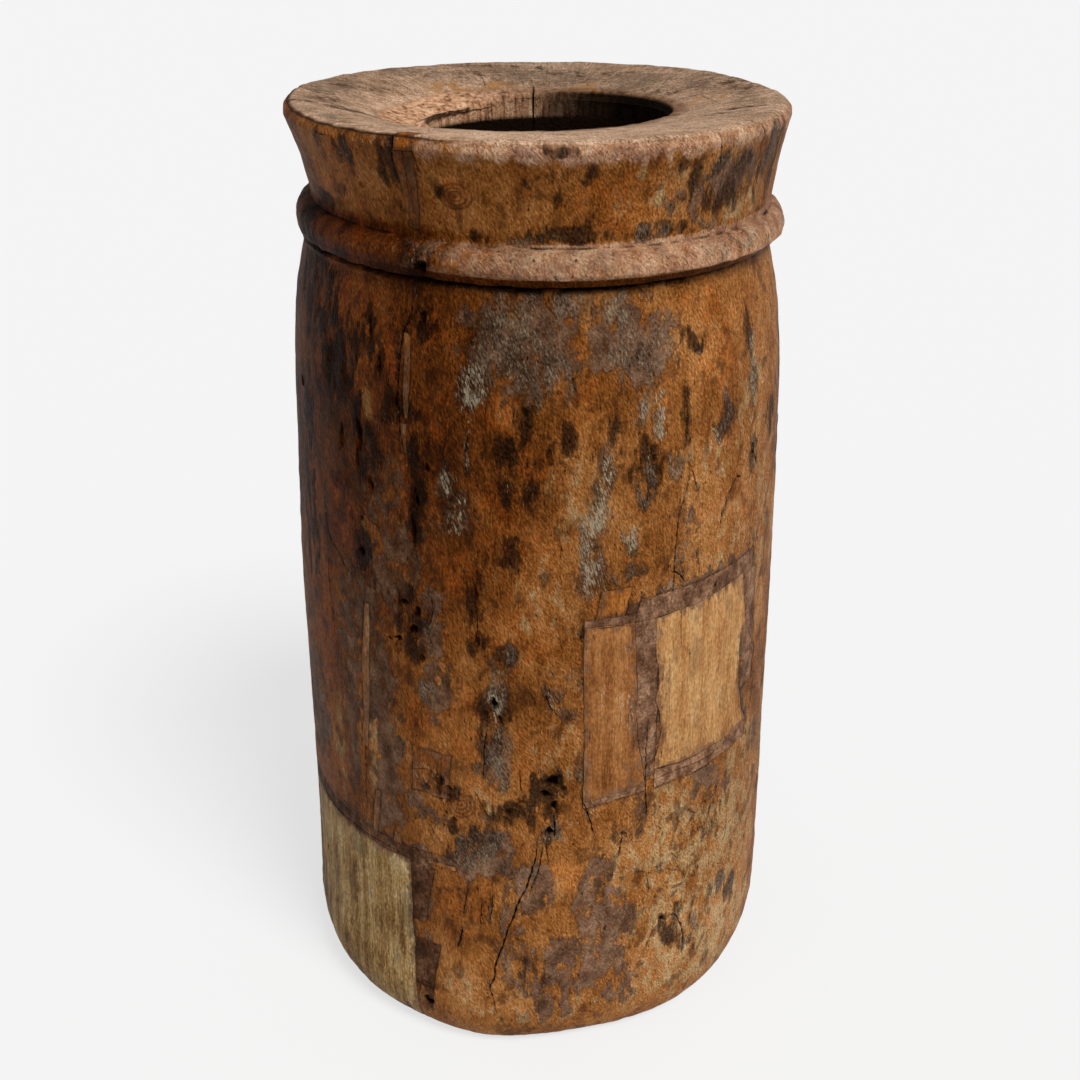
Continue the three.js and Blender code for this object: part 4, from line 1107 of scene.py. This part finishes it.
def cut(base, tools, operation, name):
    """A new object: what is left of base after the tools have been taken away, or what they share with it."""
    group = bpy.data.collections.new("tools")
    for tool in tools:
        group.objects.link(tool)
    modifier = base.modifiers.new("cut", "BOOLEAN")
    modifier.operation = operation
    modifier.operand_type = "COLLECTION"
    modifier.collection = group
    modifier.solver = "MANIFOLD"
    graph = bpy.context.evaluated_depsgraph_get()
    mesh = bpy.data.meshes.new_from_object(base.evaluated_get(graph))
    base.modifiers.remove(modifier)
    bpy.data.collections.remove(group)
    mesh.name = name
    return added(name, mesh)


def vertex_places(mesh):
    places = np.empty(len(mesh.vertices) * 3, np.float32)
    mesh.vertices.foreach_get("co", places)
    return places.reshape(-1, 3).astype(float) * 1000


def painted_light_and_shade(points, girth, height, in_mouth):
    """The painted light and shade at each place, on the outside and on the rim: how much of its brightness
    the wood's colour keeps where shade lies, or how much it gains where light falls.
    """
    shaded = smooth_step(height, *upper_shade_heights)
    wall = np.interp(girth, dim_girths, low_dims) * (1 - shaded)
    wall += np.interp(girth, dim_girths, high_dims) * shaded
    on_foot = smooth_step(-height, *foot_painted_light_fade)
    on_neck = smooth_step(height, groove_height, groove_height + 6)
    on_bead = smooth_step(height, groove_height - 20, groove_height - 14) * (1 - on_neck)
    wall *= 1 + on_foot * (np.interp(girth, *foot_painted_light) - 1)
    wall *= 1 + on_neck * (np.interp(girth, *neck_painted_light) - 1) + on_bead * (np.interp(girth, *bead_painted_light) - 1)
    # Painted shade on the bead's underside, between the black line and the teeth: half as bright
    above_teeth = above_line(girth, height) - tooth_rise
    wall *= 1 - 0.5 * smooth_step(above_teeth, -5.5, -4.5) * smooth_step(-above_teeth, -0.2, 0.8)
    across, back, spread, more = funnel_painted_light
    lit = bell(np.hypot(points[:, 0] - across, points[:, 1] - back), spread)
    rim = np.interp(points[:, 1], *rim_painted_light) * (1 + more * lit)
    mouth = np.interp(points[:, 0], *mouth_painted_light_and_shadow)
    return wall, rim * (1 - in_mouth) + mouth * in_mouth


def own_light(name, girth):
    """How much lighter or darker a let-in piece is than the others of its kind."""
    light = piece_lights.get(name, 1)
    if name.endswith("filling"):
        light = light * np.interp(girth, *left_filling_light)
    return light


def knot_rings(girth, height, torn):
    """Rings round each knot, a little torn."""
    rings = np.zeros_like(girth)
    for at_girth, at_height, wide, tall in knots:
        across = 0.75 * girth + 0.25 * torn[0] - at_girth
        up = 0.75 * height + 0.25 * torn[1] - at_height
        ring = np.hypot(across / wide, up / tall)
        rings = np.maximum(rings, (0.55 + 0.45 * np.sin(ring * 22)) * smooth_step(-ring, -1.2, -0.9))
    return rings


def seam_edge(girth, height, name):
    """How near each place of a let-in piece is to its own outline, from 0 inside to 1 at the edge."""
    if name not in inlays:
        return np.zeros_like(girth)
    return bell(seam_distance(*hand_cut_back(girth, height), [name], 8), 2.2)


def paint(piece, own_name):
    """Gives a piece the values that its material reads at each vertex."""
    mesh = piece.data
    points = vertex_places(mesh)
    girth, height, inside = unrolled(points)
    from_axis = from_axis_of(points)
    above_dish = height > mouth_edge_height - 14
    on_top = smooth_step(inside - np.interp(girth, *arris_insets), 0, arris_blend) * above_dish
    in_mouth = smooth_step(-height, -mouth_edge_height - 1, 2 - mouth_edge_height) * (height > hollow_top)
    in_mouth *= smooth_step(-from_axis, -mouth_skin_reach, mouth_blend - mouth_skin_reach)
    outer = (1 - on_top) * smooth_step(-inside, -9, -5)
    torn = ragged(girth, height)
    torn_plan = [points[:, k] + layered(points, top_stray[k]) for k in (0, 1)]

    def area(wall_spots, top_spots, least=0.0):
        """An area of the wall, nowhere below the least value, and the same area of the rim's top."""
        on_wall_value = np.maximum(spotted(*torn, wall_spots), least)
        return outer * on_wall_value + on_top * spotted(*torn_plan, top_spots)

    others = [name for name in inlays if name != own_name]
    seam = seam_distance(*hand_cut_back(girth, height), others)
    packing = seam_distance(*hand_cut_back(girth, height), [name for name in packed if name != own_name])
    cracks = lined(girth, height, [(width, path) for width, _, path in wall_cracks], 2.2)
    above_teeth = above_line(girth, height) - tooth_rise
    below_groove = smooth_step(-height, 0.5 - groove_height, 2.5 - groove_height)
    on_bead = smooth_step(above_teeth, -0.6, 0.4) * below_groove
    on_lip = smooth_step(height, pot_height - 14, pot_height - 6)
    outer_light, upper_light = painted_light_and_shade(points, girth, height, in_mouth)
    values = {
        "soot": area(soot_spots, top_dark_spots),
        "grey": area(grey_spots, top_grey_spots, 0.5 * cracks),
        "filled": outer * np.maximum(spotted(*torn, filled_spots), 0.8 * smooth_step(-packing, -6, 0)),
        "rings": outer * knot_rings(girth, height, torn),
        "warm": area(warm_spots, top_warm_spots),
        "pale": area(pale_spots, top_pale_spots),
        "dust": outer * lined(*strayed(girth, height, line_stray), pale_lines, 4.5),
        # Painted shade: black where the skin lies deep inside the carved outline, in cracks, holes and the
        # line under the bead
        "deep": outer * smooth_step(inside, 1.9, 2.9),
        "seam": outer * bell(seam, 0.7),
        # The painted light and shade, times each let-in piece's own tone; then that of the rim's top and of
        # the mouth
        "edge": seam_edge(girth, height, own_name),
        "painted_light_and_tone": outer_light * own_light(own_name, girth),
        "top_painted_light": upper_light,
        "top": on_top * (1 - in_mouth),
        "mouth": in_mouth,
        # Painted shade: the hollow below the mouth is painted dark
        "hollow": (1 - outer) * (1 - on_top) * (from_axis < hollow_radius + 11),
        "teeth": outer * bell(above_teeth, 1.4) * on_rubbed_and_lit_side(girth, -30, 0),
        "chamfer": outer * on_lip * on_rubbed_and_lit_side(girth, -120, 20),
        "beadface": outer * on_bead * on_rubbed_and_lit_side(girth, -105, -10),
    }
    for name, value in values.items():
        layer = mesh.attributes.new(name, "FLOAT", "POINT")
        layer.data.foreach_set("value", np.asarray(value, np.float32))


class Shader:
    """The nodes of one material, made with short calls. Sizes are millimetres."""

    def __init__(self, name):
        self.material = bpy.data.materials.new(name)
        self.material.use_nodes = True
        self.nodes = self.material.node_tree.nodes
        self.surface = self.nodes["Principled BSDF"]
        self.place = self.nodes.new("ShaderNodeTexCoord").outputs["Object"]
        height = self.nodes.new("ShaderNodeSeparateXYZ")
        self.connect(self.place, height.inputs[0])
        self.height = height.outputs["Z"]

    def connect(self, value, socket):
        if isinstance(value, bpy.types.NodeSocket):
            self.material.node_tree.links.new(value, socket)
        else:
            socket.default_value = value

    def math(self, operation, a, b, c=0.0):
        node = self.nodes.new("ShaderNodeMath")
        node.operation = operation
        for value, socket in zip((a, b, c), node.inputs):
            self.connect(value, socket)
        return node.outputs[0]

    def times(self, a, b):
        return self.math("MULTIPLY", a, b)

    def vector(self, operation, a, b=(0, 0, 0)):
        node = self.nodes.new("ShaderNodeVectorMath")
        node.operation = operation
        self.connect(a, node.inputs[0])
        self.connect(b, node.inputs["Scale"] if operation == "SCALE" else node.inputs[1])
        return node.outputs[0]

    def attribute(self, name):
        node = self.nodes.new("ShaderNodeAttribute")
        node.attribute_name = name
        return node.outputs["Fac"]

    def noise(self, size, tall, detail, shift, wide=1.0, place=None):
        """Noise with features of this size, stretched along the height and from left to right."""
        mapping = self.nodes.new("ShaderNodeMapping")
        mapping.inputs["Scale"].default_value = (1 / wide, 1, 1 / tall)
        mapping.inputs["Location"].default_value = (shift, shift, shift)
        self.connect(place or self.place, mapping.inputs["Vector"])
        node = self.nodes.new("ShaderNodeTexNoise")
        node.inputs["Scale"].default_value = 1000 / size
        node.inputs["Detail"].default_value = detail
        node.inputs["Roughness"].default_value = 0.6
        self.connect(mapping.outputs[0], node.inputs["Vector"])
        return node.outputs["Fac"]

    def slanted(self, size, tall, slant, detail, shift):
        """Noise drawn out along the wall at this slant, for the marks of a blade."""
        node = self.nodes.new("ShaderNodeVectorRotate")
        node.rotation_type = "Z_AXIS"
        self.connect(self.place, node.inputs["Vector"])
        self.connect(self.times(self.height, 1000 * slant / middle_wall_radius), node.inputs["Angle"])
        return self.noise(size, tall, detail, shift, place=node.outputs[0])

    def radial(self, size, long, shift):
        """Noise drawn out away from the axis, for the marks on the rim."""
        flat = self.vector("MULTIPLY", self.place, (1, 1, 0))
        ring = self.vector("SCALE", self.vector("NORMALIZE", flat), rim_top_radius / 1000)
        drawn_out = self.vector("ADD", ring, self.vector("SCALE", flat, size / long))
        return self.noise(size, 1, 2, shift, place=drawn_out)

    def sum(self, *terms):
        """The sum of values, each with its weight."""
        total = 0.0
        for value, weight in terms:
            total = self.math("MULTIPLY_ADD", value, weight, total)
        return total

    def step(self, value, low, high):
        node = self.nodes.new("ShaderNodeMapRange")
        node.interpolation_type = "SMOOTHSTEP"
        self.connect(value, node.inputs["Value"])
        node.inputs["From Min"].default_value = low
        node.inputs["From Max"].default_value = high
        return node.outputs["Result"]

    def torn(self, name, threads, low, high, weight=4.5):
        """A painted area whose outline is torn by noise."""
        area = self.attribute(name)
        value = self.step(self.sum((threads, weight), (area, 1.0)), low + weight / 2, high + weight / 2)
        return self.times(value, self.step(area, 0.0, 0.2))

    def dimmed(self, colour, share):
        return self.vector("SCALE", colour, share)

    def shaded(self, colour, painted_light_and_tone):
        """The colour darkened by painted shade or lightened by painted light: what is darker is also deeper
        in hue.
        """
        node = self.nodes.new("ShaderNodeGamma")
        self.connect(colour, node.inputs["Color"])
        deeper = self.sum((painted_light_and_tone, -shade_depth), (1.0, 1 + shade_depth))
        self.connect(self.math("MAXIMUM", deeper, 1.0), node.inputs["Gamma"])
        return self.dimmed(node.outputs[0], self.math("MULTIPLY_ADD", painted_light_and_tone, shade_share, shade_rest))

    def ramp(self, value, *stops):
        node = self.nodes.new("ShaderNodeValToRGB")
        while len(node.color_ramp.elements) < len(stops):
            node.color_ramp.elements.new(0.5)
        for element, (position, colour) in zip(node.color_ramp.elements, stops):
            element.position = position
            element.color = linear(colour)
        self.connect(value, node.inputs["Fac"])
        return node.outputs["Color"]

    def mix(self, share, a, b):
        node = self.nodes.new("ShaderNodeMix")
        node.data_type = "RGBA"
        self.connect(share, node.inputs[0])
        for value, socket in ((a, node.inputs[6]), (b, node.inputs[7])):
            self.connect(linear(value) if isinstance(value, str) else value, socket)
        return node.outputs[2]

    def over(self, below, area, strength, colour):
        """The colour laid over another one in this area, at this strength."""
        return self.mix(self.times(area, strength), below, colour)

    def bump(self, value, height, below=None):
        node = self.nodes.new("ShaderNodeBump")
        node.inputs["Distance"].default_value = height / 1000
        self.connect(value, node.inputs["Height"])
        if below:
            self.connect(below, node.inputs["Normal"])
        return node.outputs["Normal"]

    def finish(self, colour, roughness, normal):
        self.connect(colour, self.surface.inputs["Base Color"])
        self.connect(roughness, self.surface.inputs["Roughness"])
        self.connect(normal, self.surface.inputs["Normal"])
        self.surface.inputs["Specular IOR Level"].default_value = gloss
        self.surface.inputs["Specular Tint"].default_value = linear(gloss_tint)
        return self.material


def linear(colour):
    """A written sRGB colour as the shader's own values."""
    parts = [int(colour[i : i + 2], 16) / 255 for i in (1, 3, 5)]
    return (*[p / 12.92 if p < 0.04045 else ((p + 0.055) / 1.055) ** 2.4 for p in parts], 1.0)


def even_grey(value):
    return (value, value, value, 1)


def filling_colour(s):
    """The purple-brown packing, smeared and dusty."""
    mottle = s.sum((s.noise(9, 1.6, 5, shift=2.0), 0.8), (s.noise(1.2, 1.5, 2, shift=5.0), 0.3))
    return s.ramp(mottle, *filling_stops)


class LogWood(Shader):
    """The log's wood, with the grains and marks that its wall, its rim and its relief share."""

    def __init__(self):
        super().__init__("log_wood")
        self.skin = self.slanted(0.9, 2.3, 0.4, 3, shift=1.0)
        self.fibre = self.noise(0.8, 8, 3, shift=1.0)
        self.streak = self.noise(9, 1.7, 5, shift=2.0)
        self.cloud = self.noise(34, 1.5, 6, shift=3.0)
        self.grit = self.noise(1.1, 1.5, 3, shift=4.0)
        self.threads = self.noise(6, 1.8, 9, shift=6.0)
        self.marks = self.slanted(0.8, 6, 1.1, 3, shift=16.0)
        self.rim_marks = self.radial(1.3, 10, shift=7.0)
        self.tick = self.step(self.noise(1.9, 3.2, 3, shift=14.0), 0.66, 0.71)
        self.painted_light_and_tone = self.attribute("painted_light_and_tone")
        self.pale = self.attribute("pale")
        drips = self.noise(5, 3.2, 9, shift=18.0)
        self.soot = self.torn("soot", drips, 0.15, 1.0)
        self.grey = self.torn("grey", drips, 0.25, 1.2)
        self.filled = self.torn("filled", self.threads, 0.35, 0.75)
        strokes = self.slanted(0.7, 4.5, 0.3, 4, shift=21.0)
        dusty = self.sum(
            (self.attribute("grey"), 0.13),
            (self.attribute("filled"), 0.04),
            (self.attribute("dust"), 0.1),
            (strokes, 1.0),
            (self.grit, 0.15),
            (self.streak, 0.45),
        )
        self.glint = self.step(dusty, 1.0, 1.06)


def wall_wood(s):
    """The wall from its patina upwards: stains, filling, rubbed edges partly painted as a highlight, soot,
    grey crust and ticks, darker in the pits of its relief, partly as painted shade.
    """
    grain = s.sum((s.cloud, 0.85), (s.streak, 0.45), (s.fibre, 0.5), (s.skin, 0.5))
    tone = s.sum((grain, 1.0), (s.painted_light_and_tone, 0.16), (s.pale, 0.1), (1.0, -0.79))
    wood = s.ramp(tone, *wall_stops)
    wood = s.mix(s.torn("warm", s.threads, 0.3, 0.9), wood, s.ramp(tone, *ruddy_stops))
    wood = s.mix(s.torn("pale", s.threads, 0.3, 0.9), wood, s.ramp(tone, *tan_stops))
    wood = s.over(wood, s.attribute("rings"), 0.8, ring_colour)
    stained = s.step(s.sum((s.noise(9, 1.5, 9, shift=12.0), 1.0), (s.skin, 0.25)), 0.69, 0.74)
    wood = s.over(wood, stained, 0.6, stain_colour)
    wood = s.mix(s.filled, wood, filling_colour(s))
    # The bead's face and the chamfer: pale where rubbed, and partly a painted highlight where the key light
    # falls
    rubbed_and_lit = s.ramp(s.sum((s.marks, 0.4), (s.grit, 0.25), (s.streak, 0.65)), *rubbed_and_lit_stops)
    bluish = s.step(s.noise(13, 0.7, 6, shift=23.0), 0.48, 0.6)
    rubbed_and_lit = s.over(rubbed_and_lit, bluish, 0.55, bluish_colour)
    wood = s.over(wood, s.torn("chamfer", s.threads, 0.25, 0.95, 3.0), 0.85, s.dimmed(rubbed_and_lit, 1.15))
    wood = s.over(wood, s.torn("beadface", s.threads, 0.2, 0.9, 3.0), 0.72, rubbed_and_lit)
    wood = s.over(wood, s.soot, 0.9, s.ramp(s.sum((s.skin, 0.7), (s.grit, 0.3)), *soot_stops))
    wood = s.over(wood, s.grey, 0.75, s.ramp(s.sum((s.skin, 0.6), (s.streak, 0.5)), *crust_stops))
    wood = s.over(wood, s.tick, 0.75, tick_colour)
    # Darker where skin and grit are low, in the pits that the bumps raise from the same noise: uneven tone
    # and painted shade in the pits
    return s.dimmed(wood, s.sum((s.skin, 1.2), (s.grit, 0.7), (1.0, 0.05)))


def top_wood(s):
    """The rim's dry top."""
    rim_grain = s.noise(1.4, 1, 4, shift=8.0, wide=8)
    grain = s.sum((s.rim_marks, 0.35), (rim_grain, 0.6), (s.cloud, 0.5), (s.grit, 0.6), (s.streak, 0.6))
    wood = s.ramp(s.sum((grain, 1.0), (s.pale, 0.12), (1.0, -0.86)), *top_stops)
    wood = s.mix(s.torn("warm", s.threads, 0.3, 0.9), wood, top_warm_colour)
    wood = s.over(wood, s.torn("grey", s.threads, 0.3, 0.9), 0.6, top_grey_colour)
    wood = s.over(wood, s.torn("soot", s.threads, 0.3, 0.9), 0.75, top_soot_colour)
    wood = s.over(wood, s.tick, 0.6, top_tick_colour)
    # Darker where rim marks and grit are low, in the pits that the bumps raise from the same noise: uneven
    # tone and painted shade in the pits
    return s.dimmed(wood, s.sum((s.rim_marks, 0.7), (s.grit, 1.3), (1.0, 0.05)))


def log_bumps(s):
    """Fine relief of the log: skin and fibre, marks of hand and blade, crusts, and sunk ticks."""
    nicks = s.times(s.slanted(1.6, 6, 0, 2, shift=30.0), s.attribute("teeth"))
    rubbed_and_lit = s.math("MAXIMUM", s.attribute("chamfer"), s.attribute("beadface"))
    bumps = s.bump(s.sum((s.skin, 1.0), (s.fibre, 0.5), (s.grit, 0.6)), 1.9)
    bumps = s.bump(s.sum((nicks, 2.0), (s.times(s.marks, rubbed_and_lit), 0.6)), 1.0, bumps)
    bumps = s.bump(s.times(s.rim_marks, s.attribute("top")), 0.8, bumps)
    rough = s.math("MAXIMUM", s.math("MAXIMUM", s.grey, s.soot), s.times(s.filled, 0.6))
    bumps = s.bump(s.times(s.noise(3, 1.4, 5, shift=9.0), rough), 2.4, bumps)
    return s.bump(s.sum((s.tick, -0.5), (s.glint, 0.25)), 0.8, bumps)


def log_wood():
    """The whole log: wall, rim, seams, cut depths painted black as shade, mouth with its painted light and
    shadow, and hollow painted dark as shade.
    """
    s = LogWood()
    top_painted_light = s.attribute("top_painted_light")
    dust = s.mix(s.attribute("dust"), s.ramp(s.grit, *dust_stops), pale_dust)
    # The wall's colour darkened by painted shade and lightened by painted light
    wood = s.shaded(wall_wood(s), s.painted_light_and_tone)
    wood = s.over(wood, s.glint, 0.8, s.dimmed(dust, s.math("MULTIPLY_ADD", s.painted_light_and_tone, 0.5, 0.5)))
    wood = s.mix(s.attribute("top"), wood, s.dimmed(top_wood(s), top_painted_light))
    seam = s.times(s.attribute("seam"), s.step(s.threads, 0.4, 0.6))
    wood = s.over(wood, seam, 0.85, seam_colour)
    # Painted shade: near black in the deepest cuts
    wood = s.mix(s.attribute("deep"), wood, log_recess_shade_colour)
    inner = s.ramp(s.noise(3, 9, 4, shift=8.0), *mouth_stops)
    wood = s.mix(s.attribute("mouth"), wood, s.dimmed(inner, top_painted_light))
    # Painted shade: the hollow in a dark colour
    wood = s.mix(s.attribute("hollow"), wood, hollow_shade_colour)
    return s.finish(wood, s.math("MULTIPLY_ADD", s.grit, 0.4, 0.3), log_bumps(s))


def board_wood(name, stops):
    """Split board with straight upright grain, stained at its edges."""
    s = Shader(name)
    fibre = s.noise(0.8, 22, 3, shift=1.0)
    band = s.noise(8, 30, 3, shift=2.0)
    grit = s.noise(1.2, 2, 3, shift=3.0)
    stain = s.noise(12, 2.2, 6, shift=4.0)
    cloud = s.noise(22, 1.6, 5, shift=5.0)
    drips = s.noise(5, 3.2, 9, shift=18.0)
    painted_light_and_tone = s.attribute("painted_light_and_tone")
    grain = s.sum((band, 0.6), (fibre, 0.28), (grit, 0.3), (stain, 0.6), (cloud, 0.5))
    wood = s.ramp(s.sum((grain, 1.0), (painted_light_and_tone, 0.1), (1.0, -0.72)), *stops)
    wood = s.over(wood, s.step(stain, 0.54, 0.64), 0.5, stops[0][1])
    wood = s.over(wood, s.torn("filled", drips, 0.6, 1.3), 0.8, filling_colour(s))
    wood = s.over(wood, s.torn("soot", drips, 0.3, 1.25), 0.9, board_soot_colour)
    flecks = s.sum((s.attribute("dust"), 0.15), (s.slanted(0.7, 4.5, 0.3, 4, shift=21.0), 1.0))
    wood = s.over(wood, s.step(flecks, 0.68, 0.74), 0.6, board_dust_colour)
    edge = s.torn("edge", s.noise(5, 1.6, 6, shift=6.0), 0.45, 0.95)
    wood = s.over(wood, edge, 0.7, filling_colour(s))
    wood = s.over(wood, s.step(s.noise(1.6, 5, 3, shift=14.0), 0.66, 0.71), 0.7, board_soot_colour)
    # Darker where fibre and grit are low, in the pits that the bumps raise from the same noise: uneven tone
    # and painted shade in the pits
    wood = s.dimmed(wood, s.sum((fibre, 0.6), (grit, 1.0), (1.0, 0.2)))
    wood = s.shaded(wood, s.math("MULTIPLY_ADD", painted_light_and_tone, 0.75, 0.25))
    # Painted shade: near black in the deepest cuts
    wood = s.mix(s.attribute("deep"), wood, recess_shade_colour)
    bumps = s.bump(s.sum((fibre, 1.0), (grit, 0.6)), 1.1)
    return s.finish(wood, s.math("MULTIPLY_ADD", grit, 0.4, 0.32), bumps)


def filling():
    """Crumbly packing in the seams."""
    s = Shader("filling")
    crumb = s.noise(1.3, 1.2, 4, shift=3.0)
    soft = s.noise(7, 1.6, 3, shift=6.0)
    worn = s.step(s.noise(5, 1.6, 8, shift=9.0), 0.48, 0.62)
    colour = s.over(filling_colour(s), worn, 0.6, worn_filling_colour)
    # Darker where the crumb is low, in the pits that the bump raises from the same noise: uneven tone and
    # painted shade in the pits
    colour = s.dimmed(colour, s.sum((crumb, 2.4), (1.0, -0.1)))
    colour = s.shaded(colour, s.attribute("painted_light_and_tone"))
    # Painted shade in the deepest cuts
    colour = s.over(colour, s.attribute("deep"), 0.9, recess_shade_colour)
    normal = s.bump(crumb, 1.2, s.bump(soft, 2.0))
    return s.finish(colour, s.math("MULTIPLY_ADD", crumb, 0.4, 0.4), normal)


def nail_iron():
    """Rusted iron."""
    s = Shader("nail_iron")
    crust = s.noise(0.9, 1, 4, shift=1.0)
    s.surface.inputs["Metallic"].default_value = 0.6
    roughness = s.math("MULTIPLY_ADD", crust, 0.4, 0.35)
    return s.finish(s.ramp(crust, *iron_stops), roughness, s.bump(crust, 0.3))


def dress(piece, node, material):
    """Puts a finished piece in the place of its CAD node."""
    piece.data.materials.clear()
    piece.data.materials.append(material)
    piece.data.shade_smooth()
    piece.data.set_sharp_from_angle(angle=np.radians(sharp_angle))
    paint(piece, node)
    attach(piece, "root")
    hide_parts(node)


# The log, its cracks, and then the let-in pieces in order of fitting
whole_log = carved_log()
blades = crack_blades()
cracked_log = cut(whole_log, blades, "DIFFERENCE", "cracked_log")
nail_top = nail_head_height - nail_hole_depth
nail_point = nail_top - nail_length
shank_hole_radius = nail_shank_radius + clearance
hole_points = [
    (0, nail_point - clearance),
    (shank_hole_radius, nail_point - clearance),
    (shank_hole_radius, -nail_hole_depth - clearance),
    (nail_hole_radius, -nail_hole_depth - clearance),
    (nail_hole_radius * 1.05, -1),
    (nail_hole_radius * 1.3, nail_length),
    (0, nail_length),
]
nail_points = [
    (0, nail_point),
    (nail_shank_radius * 0.5, nail_point + 1),
    (nail_shank_radius, nail_point + 3),
    (nail_shank_radius, nail_top - nail_head_height),
    (nail_head_radius * 0.95, nail_top - nail_head_height),
    (nail_head_radius, nail_top - nail_head_height * 0.6),
    (nail_head_radius * 0.9, nail_top),
    (nail_head_radius * 0.5, nail_top + 0.15),
    (0, nail_top + 0.2),
]
nail_hole = turned_into_wall("nail_hole", hole_points, nail_girth, nail_height, hole_unround)
recesses = [nail_hole]
materials = {slot: board_wood(slot, stops) for slot, stops in board_stops.items()}
materials["filling"] = filling()
materials["log_wood"] = log_wood()
materials["nail_iron"] = nail_iron()
for name in inlays:
    space = block(name, 0)
    fitted = cut(cracked_log, [space], "INTERSECT", "fitted")
    trimmed = cut(fitted, recesses, "DIFFERENCE", "worn_" + name)
    bpy.data.objects.remove(fitted)
    bpy.data.objects.remove(space)
    slot = slots.get(name, "filling")
    dress(trimmed, name, materials[slot])
    recesses.append(block(name, clearance))
body = cut(cracked_log, recesses, "DIFFERENCE", "worn_pot_body")
dress(body, "pot_body", materials["log_wood"])
nail = turned_into_wall("worn_foot_nail", nail_points, nail_girth, nail_height, nail_unround)
dress(nail, "foot_nail", materials["nail_iron"])
for tool in [whole_log, cracked_log, *blades, *recesses]:
    bpy.data.objects.remove(tool)


def studio():
    """Floor and room in the pale grey of the photograph's background, and one soft key light."""
    sides = ((-1, -1), (1, -1), (1, 1), (-1, 1))
    corners = [(x * floor_reach, y * floor_reach, floor_level) for x, y in sides]
    floor_mesh = bpy.data.meshes.new("floor")
    floor_mesh.from_pydata(corners, [], [(0, 1, 2, 3)])
    paper = Shader("floor_paper")
    rays = paper.nodes.new("ShaderNodeLightPath").outputs
    seen = paper.math("MAXIMUM", rays["Is Camera Ray"], rays["Is Glossy Ray"])
    seen = paper.math("MAXIMUM", seen, rays["Is Transmission Ray"])
    lit = background * (1 - floor_shine) / floor_light
    colour = paper.mix(seen, even_grey(floor_bounce), even_grey(lit))
    paper.connect(colour, paper.surface.inputs["Base Color"])
    paper.connect(paper.times(seen, floor_shine), paper.surface.inputs["Emission Strength"])
    paper.surface.inputs["Emission Color"].default_value = even_grey(background)
    paper.surface.inputs["Roughness"].default_value = 1
    paper.surface.inputs["Specular IOR Level"].default_value = 0
    floor_mesh.materials.append(paper.material)
    added("floor", floor_mesh)

    sun_data = bpy.data.lights.new("key", "SUN")
    sun_data.energy = key_strength
    sun_data.angle = np.radians(key_softness)
    sun = added("key", sun_data)
    sun.rotation_euler = (np.radians(90 - key_height), 0, np.radians(key_turn))

    world = bpy.data.worlds.new("studio")
    world.use_nodes = True
    room = world.node_tree.nodes["Background"]
    room.inputs["Color"].default_value = even_grey(background)
    room.inputs["Strength"].default_value = room_strength
    bpy.context.scene.world = world
    bpy.context.scene.view_settings.view_transform = "Standard"


studio()
